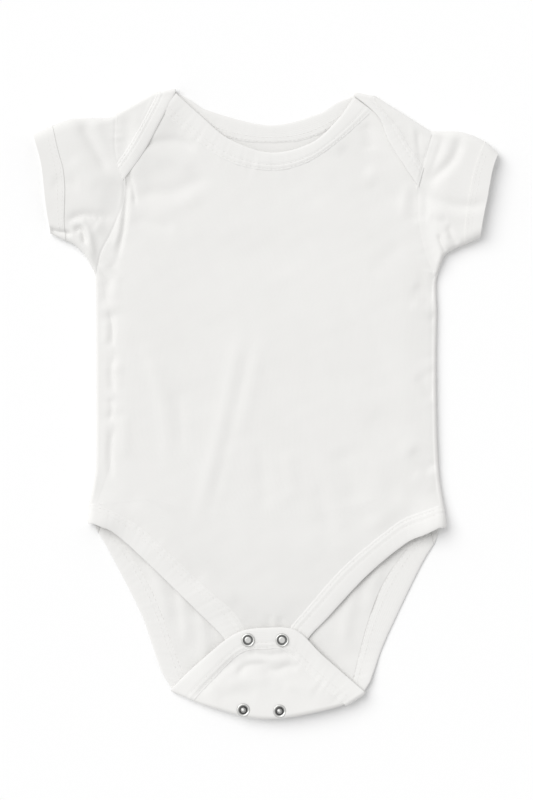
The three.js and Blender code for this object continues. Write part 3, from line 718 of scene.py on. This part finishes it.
ARMHOLE_TOPS = [(stretch(spline(ARMHOLE[side]), 0, LAP_SEWN), 0.25, 0.12, 5.0, 7.0) for side in SIDES]
LAP_SEAMS = [(spline(LAP_SEAM[side]), 0.0, 0.06, 4.0, 6.0) for side in SIDES]
FLAP_SEAMS = [(spline(FLAP_SEAM), 0.0, 0.12, 5.0, 6.5)]
FLAP_SINK = 0.3  # the flap's middle is pressed this far below a free fold's
FLAP_CENTRE = 1
FLAP_FALL, FLAP_FLAT, FLAP_FALL_OVER = 2.2, 32, 28  # its corners' fall, how far out it starts, over how far


def lap_height(x, y):
    """Height of the laps' middle: level, rumple, folds and puckers, as on the front."""
    return (look_up(LAP_LEVEL, y) + rumple(x, y) + fold_height(LAP_FOLDS, x, y)
            + puckers(ARMHOLE_TOPS + LAP_SEAMS, x, y))


def flap_height(x, y):
    """The flap's level, which falls to its corners where only the back lies below, with the rumple of the
    front and the flap's own folds."""
    fall = FLAP_FALL * smooth_step((np.abs(x - FLAP_CENTRE) - FLAP_FLAT) / FLAP_FALL_OVER)
    return (UPPER_MIDDLE - FLAP_SINK - fall + crotch_lift(x, y) + rumple(x, y)
            + fold_height(FLAP_FOLDS, x, y) + puckers(FLAP_SEAMS, x, y))


print("middle of the flap, mm:", flap_height(np.array([1.0]), np.array([-185.0])).round(2))

# %% Back panel
FLAP_START, FLAP_END = 0.095, 0.895  # the flap's own cloth along the crotch fold, between its bindings
LAP_TIP = 0.285  # share of the armhole at which the lap ends
LAP_ROOT = 0.06  # share of the lap's inner edge that fills the binding's end at the shoulder fold
BARE_FOOT = 2.5  # length of a strip's foot that the back layer leaves bare
FOLD_INSET = CLOTH / 2 + FOLD_RADIUS + BARE_FOOT  # the back layer stops this far inside a fold
BACK_SEEN_FROM, SEEN_OVER = -70, 20  # down from here, the leg openings show the back layer
BACK_SLACK, BACK_UNEVEN = 0.5, 0.3
BACK_FOLDS = [
    (0.8, 5, 3, [(-58, -104), (-54, -130), (-52, -160)]),
    (0.7, 4, 4, [(-44, -134), (-40, -152), (-40, -172)]),
    (0.9, 6, 4, [(-76, -96), (-70, -116), (-62, -140)]),
    (0.8, 5, 4, [(60, -112), (54, -134), (50, -160)]),
    (0.7, 4, 5, [(78, -98), (70, -118), (66, -140)]),
]


def back_layer():
    """The flat back between its side folds, neck and crotch, raised where the leg openings show it."""
    edges = [panel_edge(side, shifted(stretch(spline(SIDE_OUTLINE[side]), SIDE_START, 1),
                                      INWARD[side] * FOLD_INSET), BACK_LEG_SEAM) for side in SIDES]
    top = panel_top(*edges, shifted(spline(BACK_NECK_SEAM), TUCK))
    bottom = shifted(stretch(spline(CROTCH_FOLD), FLAP_START, FLAP_END), FOLD_INSET)
    plan = patch(top, bottom, *edges, np.linspace(0, 1, 91), np.linspace(0, 1, 151))
    x, y = plan[..., 0], plan[..., 1]
    seen = smooth_step((BACK_SEEN_FROM - y) / SEEN_OVER)
    soft = BACK_SLACK + BACK_UNEVEN * small(x, y) + fold_height(BACK_FOLDS, x, y)
    return with_height(plan, BACK_MIDDLE + crotch_lift(x, y) + seen * np.maximum(soft, 0))


def side_turn(side):
    """The back's side, turned over from the outline on to the side seam."""
    plan = between(spline(SIDE_OUTLINE[side]), shifted(spline(SIDE_SEAM[side]), INWARD[side] * OVERLAP))
    return turned_over(plan, front_height, 150, 12)


def lap(side):
    """A lap, turned over at the shoulder, between the armhole and its binding's seam. At the fold the
    seam's line first comes in from outside, so that the cloth fills the end of the binding."""
    armhole = shifted(stretch(spline(ARMHOLE[side]), 0, LAP_TIP), -INWARD[side] * OVERLAP)
    seam = shifted(spline(LAP_SEAM[side]), INWARD[side] * TUCK)
    start, edge = spline(LAP_SEAM[side])(0.0), spline(LAP_EDGE[side])(0.0)
    way = (start - edge) / np.linalg.norm(start - edge)
    outward = np.array([way[1], -way[0]]) * INWARD[side]
    beside = start - way * TUCK
    root = straight(beside + outward * (FOLD_RADIUS + BAND / 2), beside)
    across = between(armhole, joined((root, LAP_ROOT), (seam, 1 - LAP_ROOT)))
    return turned_over(lambda u, v: across(v, u), lap_height, 40, 50)


def flap():
    """The back's own end, turned up over the crotch fold and reaching to its arched binding."""
    fold = stretch(spline(CROTCH_FOLD), FLAP_START, FLAP_END)
    arch = shifted(spline(FLAP_SEAM), TUCK)
    return turned_over(between(fold, arch), flap_height, 120, 40)


back_grids = [back_layer(), *(side_turn(side) for side in SIDES), *(lap(side) for side in SIDES), flap()]
back = make_piece("back_cloth", back_grids, jersey, thickness=CLOTH_SHOWN)
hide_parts("back_panel")

# %% [markdown]
# ## The front
# The front is one panel too, from the neck binding to the flap, sewn to the back's wrapped sides. A dense
# grid is worth its cost here, because this is the piece that everyone looks at.

# %% Front panel
def front_points():
    """The front between its side seams, neck and leg seams, at the front's height."""
    edges = [panel_edge(side, shifted(stretch(spline(SIDE_SEAM[side]), SIDE_START, 1),
                                      -INWARD[side] * OVERLAP), FRONT_LEG_SEAM) for side in SIDES]
    top = panel_top(*edges, shifted(spline(FRONT_NECK_SEAM), TUCK))
    bottom = straight(edges[0](1.0), edges[1](1.0))
    plan = patch(top, bottom, *edges, np.linspace(0, 1, 161), np.linspace(0, 1, 271))
    return with_height(plan, front_height(plan[..., 0], plan[..., 1]))


front = make_piece("front_cloth", [front_points()], jersey, thickness=CLOTH_SHOWN)
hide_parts("front_panel")

# %% [markdown]
# ## Sleeves and cuffs
# A sleeve is a short tube pressed flat: its lower layer rests on the table and its upper one is held up
# a few millimetres by the folds along its two edges. The cuff is its turned hem, twice as thick. One
# function of two parameters, along the sleeve and round it, makes both.

# %% Sleeve heights and folds
SLEEVE_LEVEL = {"left": [(0, 5.0), (0.5, 6.2), (1, 6.0)], "right": [(0, 5.0), (0.5, 7.0), (1, 7.6)]}
SLEEVE_FOLDS = [
    # left: a slack trough from the top, and the underarm rolled up on itself
    (-1.7, 5, 4.5, [(-121, 188), (-117, 178), (-110, 166), (-100, 149)]),
    (0.7, 4, 5, [(-112, 188), (-106, 172), (-99, 158)]),
    (-1.7, 3.2, 1.3, [(-131, 117), (-124, 121), (-116, 122.5), (-106, 121), (-94, 119)]),
    (1.1, 2.2, 2.4, [(-128, 117), (-120, 118.5), (-115.5, 111), (-112.5, 101), (-110, 92)]),
    (-1.8, 2.0, 2.0, [(-126, 112), (-120, 114), (-118, 108), (-117, 103)]),
    (-2.0, 1.2, 2.4, [(-141, 115.5), (-136, 113), (-130, 112), (-125, 110)]),
    (1.0, 3.5, 3.0, [(-112, 117), (-106, 112), (-103, 104)]),
    (-0.6, 5, 5, [(-140, 146), (-130, 143), (-120, 145)]),
    (0.5, 6, 6, [(-128, 160), (-118, 150), (-108, 140)]),
    # right: creases that fan out from the tip of the lap
    (-1.7, 4.0, 3.5, [(101, 142), (111, 149), (120, 157), (125, 167), (126, 178)]),
    (-0.7, 2.2, 2.5, [(100, 142), (108, 155), (113, 168), (115, 178)]),
    (0.35, 2.0, 2.0, [(102, 142), (106, 156), (110, 168), (111, 178)]),
    (-1.1, 4, 3.5, [(102, 138), (115, 131), (128, 128.5), (146, 129.5)]),
    (0.4, 4, 4, [(106, 126), (118, 123), (134, 121)]),
    (-0.9, 2.2, 2.2, [(103, 140), (104, 130), (103, 118)]),
    (-1.1, 1.4, 1.8, [(112, 111), (114, 105), (117, 98)]),
    (0.5, 2.5, 2.5, [(116, 112), (118, 105), (122, 100)]),
    (-0.9, 2.0, 2.2, [(118, 118), (121, 109), (126, 104)]),
    (-0.6, 3, 3, [(106, 122), (112, 119), (119, 120)]),
]
SLEEVE_SEAMS = [(spline(ARMHOLE["left"]), 0.35, 0.20, 5.0, 9.0),
                (spline(ARMHOLE["right"]), 0.12, 0.20, 5.0, 8.0)]
LAP_TIP_Y = {side: LAP_EDGE[side][-1][1] for side in SIDES}  # the lap is sewn on above, the front below
TIP_BELOW, TIP_BLEND = 4, 6  # the change starts this far below the lap's tip and takes this distance
SEWN_SHARE = 0.35  # share of its length in which a sleeve leaves the height of its armhole
CUFF_START, CUFF_OVERLAP = 0.76, 0.01  # shares of a sleeve's length
CLEARANCE = 0.02  # between resting cloth and the table
HEM = 1.5  # the hem's two layers
SOFT_START, SOFT_EDGE = 3.0, 7.0  # how far in from its folds a flat tube is full, at the armhole and free
SOFT_SHARE = 0.4  # share of its length in which one becomes the other
MIDDLE_SHARE = 0.45  # how far up the two layers of a tube meet
TOP_ROUND, REST_ROUND = 2.2, 0.8  # powers that shape the top and the resting layer beside a fold
print("sleeve lengths, mm:", [abs(CUFF_EDGE[side][0][0] - ARMHOLE[side][0][0]) for side in SIDES])

# %% Sleeves and cuffs as flat tubes
def sleeve_line(side, s):
    """Plan of a sleeve at a share s of its length, as a function of the share across it."""
    armhole = shifted(spline(ARMHOLE[side]), INWARD[side] * 3 * OVERLAP)
    return lambda across: patch(spline(SLEEVE_TOP[side]), spline(SLEEVE_UNDER[side]), armhole,
                                spline(CUFF_EDGE[side]), s, across)


def sleeve_top_height(side, s, x, y):
    """Height of a sleeve's upper layer: the lap's or the front's at the armhole, then its own."""
    blend = smooth_step((y - LAP_TIP_Y[side] + TIP_BELOW) / TIP_BLEND)
    sewn = lap_height(x, y) * blend + front_height(x, y) * (1 - blend)
    free = (look_up(SLEEVE_LEVEL[side], s) + rumple(x, y) + fold_height(SLEEVE_FOLDS, x, y)
            + puckers(SLEEVE_SEAMS, x, y))
    return sewn + (free - sewn) * smooth_step(s / SEWN_SHARE)


def fullness(across, width, soft):
    """How far open a flat tube is at a share across it: the root of a soft step of the distance from the
    nearer fold."""
    edge = np.clip(np.minimum(across, 1 - across) * width / soft, 0, 1)
    return np.sqrt(1 - (1 - edge) ** TOP_ROUND)


def sleeve_points(side, start, end, steps, thickness, around=132):
    """A flat tube: the share across is (1 - cos a) / 2, and from the folds, part of the way up, the two
    layers open to the resting height and to the top height."""
    s = np.linspace(start, end, steps + 1)
    angle = np.linspace(0, 2 * np.pi, around, endpoint=False)
    across = (1 - np.cos(angle)) / 2
    plan = sleeve_line(side, s)(across).transpose(1, 0, 2)
    x, y = plan[..., 0], plan[..., 1]
    low = thickness / 2 + CLEARANCE
    high = sleeve_top_height(side, s[:, None] + 0 * x, x, y) + (thickness - CLOTH) / 2
    width = np.linalg.norm(plan[:, around // 2] - plan[:, 0], axis=1)[:, None]
    soft = SOFT_START + (SOFT_EDGE - SOFT_START) * smooth_step(s / SOFT_SHARE)[:, None]
    full = fullness(across, width, soft)
    upper = np.sin(angle) >= -1e-9  # rounding leaves the second fold's sine just under zero
    middle = low + (high - low) * MIDDLE_SHARE
    height = np.where(upper, middle + (high - middle) * full, middle + (low - middle) * full ** REST_ROUND)
    return with_height(plan, height)


sleeves, cuffs = {}, {}
for side in SIDES:
    tube = sleeve_points(side, 0, CUFF_START + CUFF_OVERLAP, 60, CLOTH)
    sleeves[side] = make_piece(f"sleeve_{side}_cloth", [tube], jersey, ring=True,
                               thickness=CLOTH_SHOWN)
    hem = sleeve_points(side, CUFF_START, 1, 22, HEM)
    cuffs[side] = make_piece(f"cuff_{side}_hem", [hem], jersey, ring=True, thickness=HEM)
    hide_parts(f"sleeve_{side}")
    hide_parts(f"cuff_{side}")

# %% [markdown]
# ## Bindings
# The neck and the legs are bound with a strip folded round the raw edge and sewn down with a twin needle.
# Its section is a flattened loop, dented along the two rows of stitches. We carry that section along the
# seam, and where the strip goes over a fold its rows swing round half a circle and its face turns over.

# %% Binding strip
STITCH_ROWS = (0.66, 0.88)  # shares of the way from a binding's edge to its seam
DENT, DENT_WIDTH = 0.22, 0.055  # depth in millimetres, and width as a share of the way across
RIPPLE = 0.045  # of the whole strip, more at its seam than at its edge
RESTING_UNEVEN = 0.05
RING, TURN_STEPS = 56, 16  # points round the section, and steps round a fold
PRESSED = 4.0  # a strip is pressed thinner over this length where its end is sewn in
ring_angle = np.linspace(0, 2 * np.pi, RING, endpoint=False)
ring_across = (1 - np.cos(ring_angle)) / 2


def section_lift(across, side):
    """Half thickness at a share across the strip: a rounded slab, less a dent at each stitch row."""
    slab = (1 - np.abs(2 * across - 1) ** 5) ** 0.5 * BAND / 2
    dent = sum(np.exp(-(((across - row) / DENT_WIDTH) ** 2)) for row in STITCH_ROWS)
    return slab - DENT * dent * (side > 0)


def strip_rows(edge, seam, height, t):
    """Middle of a strip at shares t of its length: from the edge curve to the seam curve, on a height."""
    rim, sewn = edge(t)[:, None], seam(t)[:, None]
    plan = rim + (sewn - rim) * ring_across[None, :, None]
    return with_height(plan, height(plan[..., 0], plan[..., 1]))


def over_fold(before, last, ahead, face):
    """Rows from a stretch's last row to the next one's first, and their faces. The way between them goes
    by (1 - cos a) / 2, it bulges past the fold by half the climb times sin a, and the face, which was
    up or down by cos a, points onward by sin a."""
    chord = last[RING // 2] - last[0]
    onward = np.array([-chord[1], chord[0], 0]) / np.hypot(*chord[:2])
    onward = onward * np.sign(onward @ (last - before).mean(0))
    turn = np.linspace(0, np.pi, TURN_STEPS + 1)[1:-1, None]
    radius = np.abs(ahead[:, 2] - last[:, 2])[:, None] / 2
    swing = turn[..., None]
    rows = last + (ahead - last) * (1 - np.cos(swing)) / 2 + onward * radius * np.sin(swing)
    return rows, np.cos(turn) * [0, 0, face] + onward * np.sin(turn)

# %% A binding from its stretches
def binding(stretches):
    """Each stretch is (edge curve, seam curve, height, face, rows). face is +1 where the outside of the
    strip is up and -1 where it is turned down, after the strip has gone over a fold."""
    middles, faces = [], []
    for k, (edge, seam, height, face, rows) in enumerate(stretches):
        t = np.linspace(0, 1, rows + 1)
        if middles:
            first = strip_rows(edge, seam, height, t[:1])[0]
            turned_rows, turned_faces = over_fold(middles[-1][-2], middles[-1][-1], first, -face)
            middles.append(turned_rows)
            faces.append(turned_faces)
        run = run_along(edge(t))[:, None]
        ripple = RIPPLE * (np.sin(run * 1.05 + k) + np.sin(run * 1.71) + np.sin(run * 0.47 + 2 * k))
        flat = strip_rows(edge, seam, height, t)
        flat[..., 2] += ripple * (0.3 + ring_across * 0.7)
        middles.append(flat)
        faces.append(np.tile([0.0, 0.0, face], (rows + 1, 1)))
    middle, face = np.concatenate(middles), np.concatenate(faces)
    side = np.where(np.sin(ring_angle) >= 0, 1, -1)
    lift = section_lift(ring_across, side) * side
    centre = middle.mean(1)
    from_ends = [np.linalg.norm(centre - centre[k], axis=1) for k in (0, -1)]
    pressed = 0.5 + 0.5 * smooth_step(np.minimum(*from_ends) / PRESSED)
    return middle + face[:, None] * lift[None, :, None] * pressed[:, None, None]


def on_top_of(height):
    """Height of a binding's middle on a panel of a given height."""
    return lambda x, y: height(x, y) + BAND_LIFT


def resting(x, y):
    """Height of a binding that lies on the table, hardly uneven, or goes up with the crotch end."""
    return BAND / 2 + CLEARANCE + RESTING_UNEVEN * (1 + middling(x, y)) + crotch_lift(x, y)


def both(tables, side, flipped=False):
    """The edge curve and the seam curve of a side, run backwards if flipped."""
    return [reversed_line(spline(table[side])) if flipped else spline(table[side]) for table in tables]

# %% The five bindings
on_front, on_laps, on_flap = (on_top_of(height) for height in (front_height, lap_height, flap_height))
neck_front_run = [(spline(FRONT_NECK_EDGE), spline(FRONT_NECK_SEAM), on_front, 1, 170)]
neck_back_run = [
    (*both((LAP_EDGE, LAP_SEAM), "left", True), on_laps, 1, 56),
    (spline(BACK_NECK_EDGE), spline(BACK_NECK_SEAM), resting, -1, 120),
    (*both((LAP_EDGE, LAP_SEAM), "right"), on_laps, 1, 60),
]
leg_back_run = [
    (*both((BACK_LEG_EDGE, BACK_LEG_SEAM), "left"), resting, -1, 120),
    (spline(FLAP_EDGE), spline(FLAP_SEAM), on_flap, 1, 130),
    (*both((BACK_LEG_EDGE, BACK_LEG_SEAM), "right", True), resting, -1, 120),
]
BINDINGS = {
    "neck_binding_front": (neck_front_run, "neck_band_front"),
    "neck_binding_back": (neck_back_run, "neck_band_back"),
    "leg_binding_back": (leg_back_run, "leg_band_back"),
}
for side in SIDES:
    run = [(*both((LEG_CORNER_EDGE, LEG_CORNER_SEAM), side), resting, -1, 8),
           (*both((FRONT_LEG_EDGE, FRONT_LEG_SEAM), side), on_front, 1, 140)]
    BINDINGS[f"leg_binding_front_{side}"] = (run, f"leg_band_front_{side}")

bands = {}
for name, (run, cad_node) in BINDINGS.items():
    bands[name] = make_piece(name, [binding(run)], rib, ring=True, caps=True)
    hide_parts(cad_node)

# %% [markdown]
# ## Stitches
# A twin needle leaves two even rows of short stitches. Each is a small capsule of thread whose ends dive
# into the cloth. One template is placed at every stitch by array arithmetic, so that hundreds of them
# are one light mesh.

# %% Stitch mesh
STITCH_LENGTH, STITCH_PITCH, THREAD_RADIUS = 2.0, 2.7, 0.16
STITCH_SINK = 0.28  # how deep a stitch's ends dive
STITCH_LIFT = 0.04  # of its middle line above the cloth
STITCH_REACH = 0.6  # a stitch's direction is taken over this far on either side
UNEVEN_PITCH = 0.12
THREAD_SIDES = 6
rng = np.random.default_rng(4)


def capsule():
    """A thread stitch along X: six-sided rings that narrow to a point, and sink by the fourth power of
    the distance from the middle."""
    along = np.array([-1, -0.86, -0.45, 0, 0.45, 0.86, 1])
    size = np.array([0.05, 0.7, 1, 1, 1, 0.7, 0.05])[:, None] * THREAD_RADIUS
    angle = np.linspace(0, 2 * np.pi, THREAD_SIDES, endpoint=False)
    x = along[:, None] * STITCH_LENGTH / 2 + 0 * angle
    return np.dstack([x, size * np.cos(angle), size * np.sin(angle) - STITCH_SINK * along[:, None] ** 4])


def stitch_row(path):
    """Capsules along a path of points in space: centres every pitch by length, turned to its direction."""
    length = run_along(path)
    places = np.arange(STITCH_PITCH, length[-1] - STITCH_PITCH, STITCH_PITCH)
    places = places + rng.uniform(-UNEVEN_PITCH, UNEVEN_PITCH, len(places))
    back_end, centre, front_end = (np.stack([np.interp(where, length, path[:, k]) for k in range(3)], -1)
                                   for where in (places - STITCH_REACH, places, places + STITCH_REACH))
    way = front_end - back_end
    way /= np.linalg.norm(way, axis=1, keepdims=True)
    across = np.cross([0, 0, 1], way)
    across /= np.linalg.norm(across, axis=1, keepdims=True)
    up = np.cross(way, across)
    shape = capsule()
    return (centre[:, None, None] + shape[..., :1] * way[:, None, None]
            + shape[..., 1:2] * across[:, None, None] + shape[..., 2:] * up[:, None, None])


print("points in one stitch:", capsule()[..., 0].size)

# %% Rows of stitches on the bindings
def stitches(name, paths):
    """One mesh of all the stitches along several paths."""
    rows = np.concatenate([stitch_row(path) for path in paths])
    return make_piece(name, list(rows), thread, ring=True, caps=True)


def binding_paths(run):
    """The two needle lines on the outside of a binding, and on its inside where that is up."""
    paths = []
    for edge, seam, height, face, _ in run:
        t = np.linspace(0.01, 0.99, 200)
        for row in STITCH_ROWS:
            plan = edge(t) + (seam(t) - edge(t)) * row
            z = height(plan[:, 0], plan[:, 1]) + section_lift(row, face) + STITCH_LIFT
            paths.append(np.c_[plan, z])
    return paths


neck_thread = stitches("neck_stitching", binding_paths(neck_front_run) + binding_paths(neck_back_run))
leg_thread = stitches("leg_stitching", [path for name, (run, _) in BINDINGS.items() if "leg" in name
                                        for path in binding_paths(run)])

# %% Rows of stitches on the hems
HEM_ROWS = (CUFF_START + 0.03, CUFF_START + 0.085)  # shares of a sleeve's length
HEM_INSET = 0.04  # the rows stop at this share of the width from either fold
HEM_FOOT = 1.0  # height of the resting layer under the rows


def hem_paths(side):
    """Two needle lines round the upper side of a sleeve, just outside its hem seam."""
    paths = []
    across = np.linspace(HEM_INSET, 1 - HEM_INSET, 160)
    for s in HEM_ROWS:
        plan = sleeve_line(side, np.array([s]))(across)[:, 0]
        x, y = plan[:, 0], plan[:, 1]
        z = sleeve_top_height(side, s + 0 * x, x, y) + (HEM - CLOTH) / 2 + HEM / 2
        full = fullness(across, np.linalg.norm(plan[-1] - plan[0]), SOFT_EDGE)
        z = HEM_FOOT + (z - HEM_FOOT) * (MIDDLE_SHARE + (1 - MIDDLE_SHARE) * full)
        paths.append(np.c_[plan, z])
    return paths


hem_thread = stitches("hem_stitching", [path for side in SIDES for path in hem_paths(side)])

# %% [markdown]
# ## Snaps
# A snap is a stamped metal ring held by prongs through the cloth. A closed pair shows only the ring heads
# of the sockets; the second pair shows its studs. Each is a half profile turned round its axis, with the
# rolled rim, the groove and the middle that catch the light. The grooves, the rim's edge and the underside
# are darkened with painted shade, which stands for their shadow and the dark cloth they reflect.

# %% Snap profiles
# Each row is radius, height and how much painted shade darkens the place: the grooves, the knob's sloping
# side, the rim's edge and the underside.
SOCKET_PROFILE = [(0, 0.62, 0.05), (1.5, 0.62, 0.0), (1.95, 0.55, 0.15), (2.15, 0.35, 0.75), (2.6, 0.28, 0.9),
                  (3.0, 0.35, 0.9), (3.2, 0.6, 0.4), (3.4, 0.85, 0.0), (3.75, 0.98, 0.0), (4.1, 0.85, 0.0),
                  (4.3, 0.5, 0.35), (4.35, 0.02, 0.8), (4.0, 0.0, 0.8), (0, 0.0, 0.8)]
STUD_PROFILE = [(0, 1.75, 0.0), (0.55, 1.7, 0.0), (0.8, 1.6, 0.45), (1.2, 1.5, 0.5), (1.6, 1.35, 0.55),
                (1.85, 1.05, 0.8), (1.95, 0.7, 1.0), (2.2, 0.4, 1.0), (2.7, 0.35, 0.9), (3.0, 0.45, 0.4),
                (3.3, 0.62, 0.05), (3.7, 0.72, 0.0), (4.0, 0.6, 0.1), (4.2, 0.4, 0.4), (4.25, 0.02, 0.8),
                (4.0, 0.0, 0.8), (0, 0.0, 0.8)]
SNAPS = [("socket", -11.6, -153), ("socket", 10.5, -153), ("stud", -14.6, -198.2), ("stud", 8.9, -198.8)]

# %% Turned metal
SNAP_TURNS, PROFILE_STEPS = 48, 64  # points round a snap and along its profile


def turned(profile, x, y, z):
    """A profile turned round a vertical axis at a place, and the painted shade at each point."""
    rows = np.array(profile)
    length = run_along(rows[:, :2])
    place = np.linspace(0, length[-1], PROFILE_STEPS)
    radius, height, painted_shade = (np.interp(place, length, rows[:, k])[:, None] for k in range(3))
    angle = np.linspace(0, 2 * np.pi, SNAP_TURNS, endpoint=False)
    points = np.dstack([x + radius * np.cos(angle), y + radius * np.sin(angle), z + height + 0 * angle])
    return points, (painted_shade + 0 * angle).ravel()


def close_poles(piece):
    """Merges the points that meet on the axis, and points the faces outwards."""
    shape = bmesh.new()
    shape.from_mesh(piece.data)
    bmesh.ops.remove_doubles(shape, verts=shape.verts, dist=1e-7)
    bmesh.ops.recalc_face_normals(shape, faces=shape.faces)
    shape.to_mesh(piece.data)
    shape.free()


for kind, x, y in SNAPS:
    side = "left" if x < 0 else "right"
    base = on_flap(x, y) + BAND / 2 if kind == "socket" else flap_height(x, y) + CLOTH_SHOWN / 2
    profile = SOCKET_PROFILE if kind == "socket" else STUD_PROFILE
    points, painted_shade = turned(profile, x, y, base)
    metal = make_piece(f"{kind}_{side}_ring", [points], snap_metal, ring=True)
    # Each point's painted shade is stored on the mesh and used for the metal's colour.
    metal.data.attributes.new("painted_shade", "FLOAT", "POINT").data.foreach_set("value", painted_shade.astype(np.float32))
    close_poles(metal)
    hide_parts(f"snap_{kind}_{side}")
for side in SIDES:
    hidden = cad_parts[f"snap_mate_{side}"]
    hidden.data.materials.clear()
    hidden.data.materials.append(snap_metal)

# %% [markdown]
# ## Area of each piece of cloth
# The script prints the area of each piece of cloth.

# %% Sheets
def cloth_area(piece):
    """Area of a piece of cloth in square metres: an open mesh counts in full, a closed one by half."""
    area = sum(polygon.area for polygon in piece.data.polygons)
    return area if piece.modifiers else area / 2


for piece in [back, front, *sleeves.values(), *cuffs.values(), *bands.values()]:
    print(piece.name, "area", round(cloth_area(piece), 5))

# %% [markdown]
# ## Table and light
# A white table and a broad soft lamp at the upper left, with plenty of light from all round. The lamp
# gives each layer a soft shadow on its lower right; the rest keeps the shadows pale.

# %% Floor, lamp and world
FLOOR_HALF, FLOOR_Z = 3.0, -0.0002  # metres; a hair below the cloth, so that the two don't flicker
LAMP_STRENGTH, LAMP_WIDTH = 1.85, np.radians(50)
SKY_STRENGTH = 0.62
floor_mesh = bpy.data.meshes.new("floor")
floor_corners = [(x * FLOOR_HALF, y * FLOOR_HALF, FLOOR_Z) for x, y in ((-1, -1), (1, -1), (1, 1), (-1, 1))]
floor_mesh.from_pydata(floor_corners, [], [(0, 1, 2, 3)])
floor = bpy.data.objects.new("floor", floor_mesh)
bpy.context.scene.collection.objects.link(floor)
table_top = new_material("table_top", Base_Color=(0.95, 0.95, 0.95, 1), Roughness=0.8,
                         Specular_IOR_Level=0.1)[0]
floor_mesh.materials.append(table_top)

lamp_data = bpy.data.lights.new("key", "SUN")
lamp_data.energy, lamp_data.angle = LAMP_STRENGTH, LAMP_WIDTH
lamp = bpy.data.objects.new("key", lamp_data)
lamp.location = (-1.0, 0.85, 1.4)
lamp.rotation_mode = "QUATERNION"
lamp.rotation_quaternion = (-lamp.location).to_track_quat("-Z", "Y")
bpy.context.scene.collection.objects.link(lamp)

world = bpy.data.worlds.new("studio")
world.use_nodes = True
sky = world.node_tree.nodes["Background"]
sky.inputs["Color"].default_value = (1.0, 1.0, 1.0, 1)
sky.inputs["Strength"].default_value = SKY_STRENGTH
bpy.context.scene.world = world
bpy.context.scene.view_settings.view_transform = "Standard"
print("lamp strength", LAMP_STRENGTH, "and sky strength", SKY_STRENGTH)
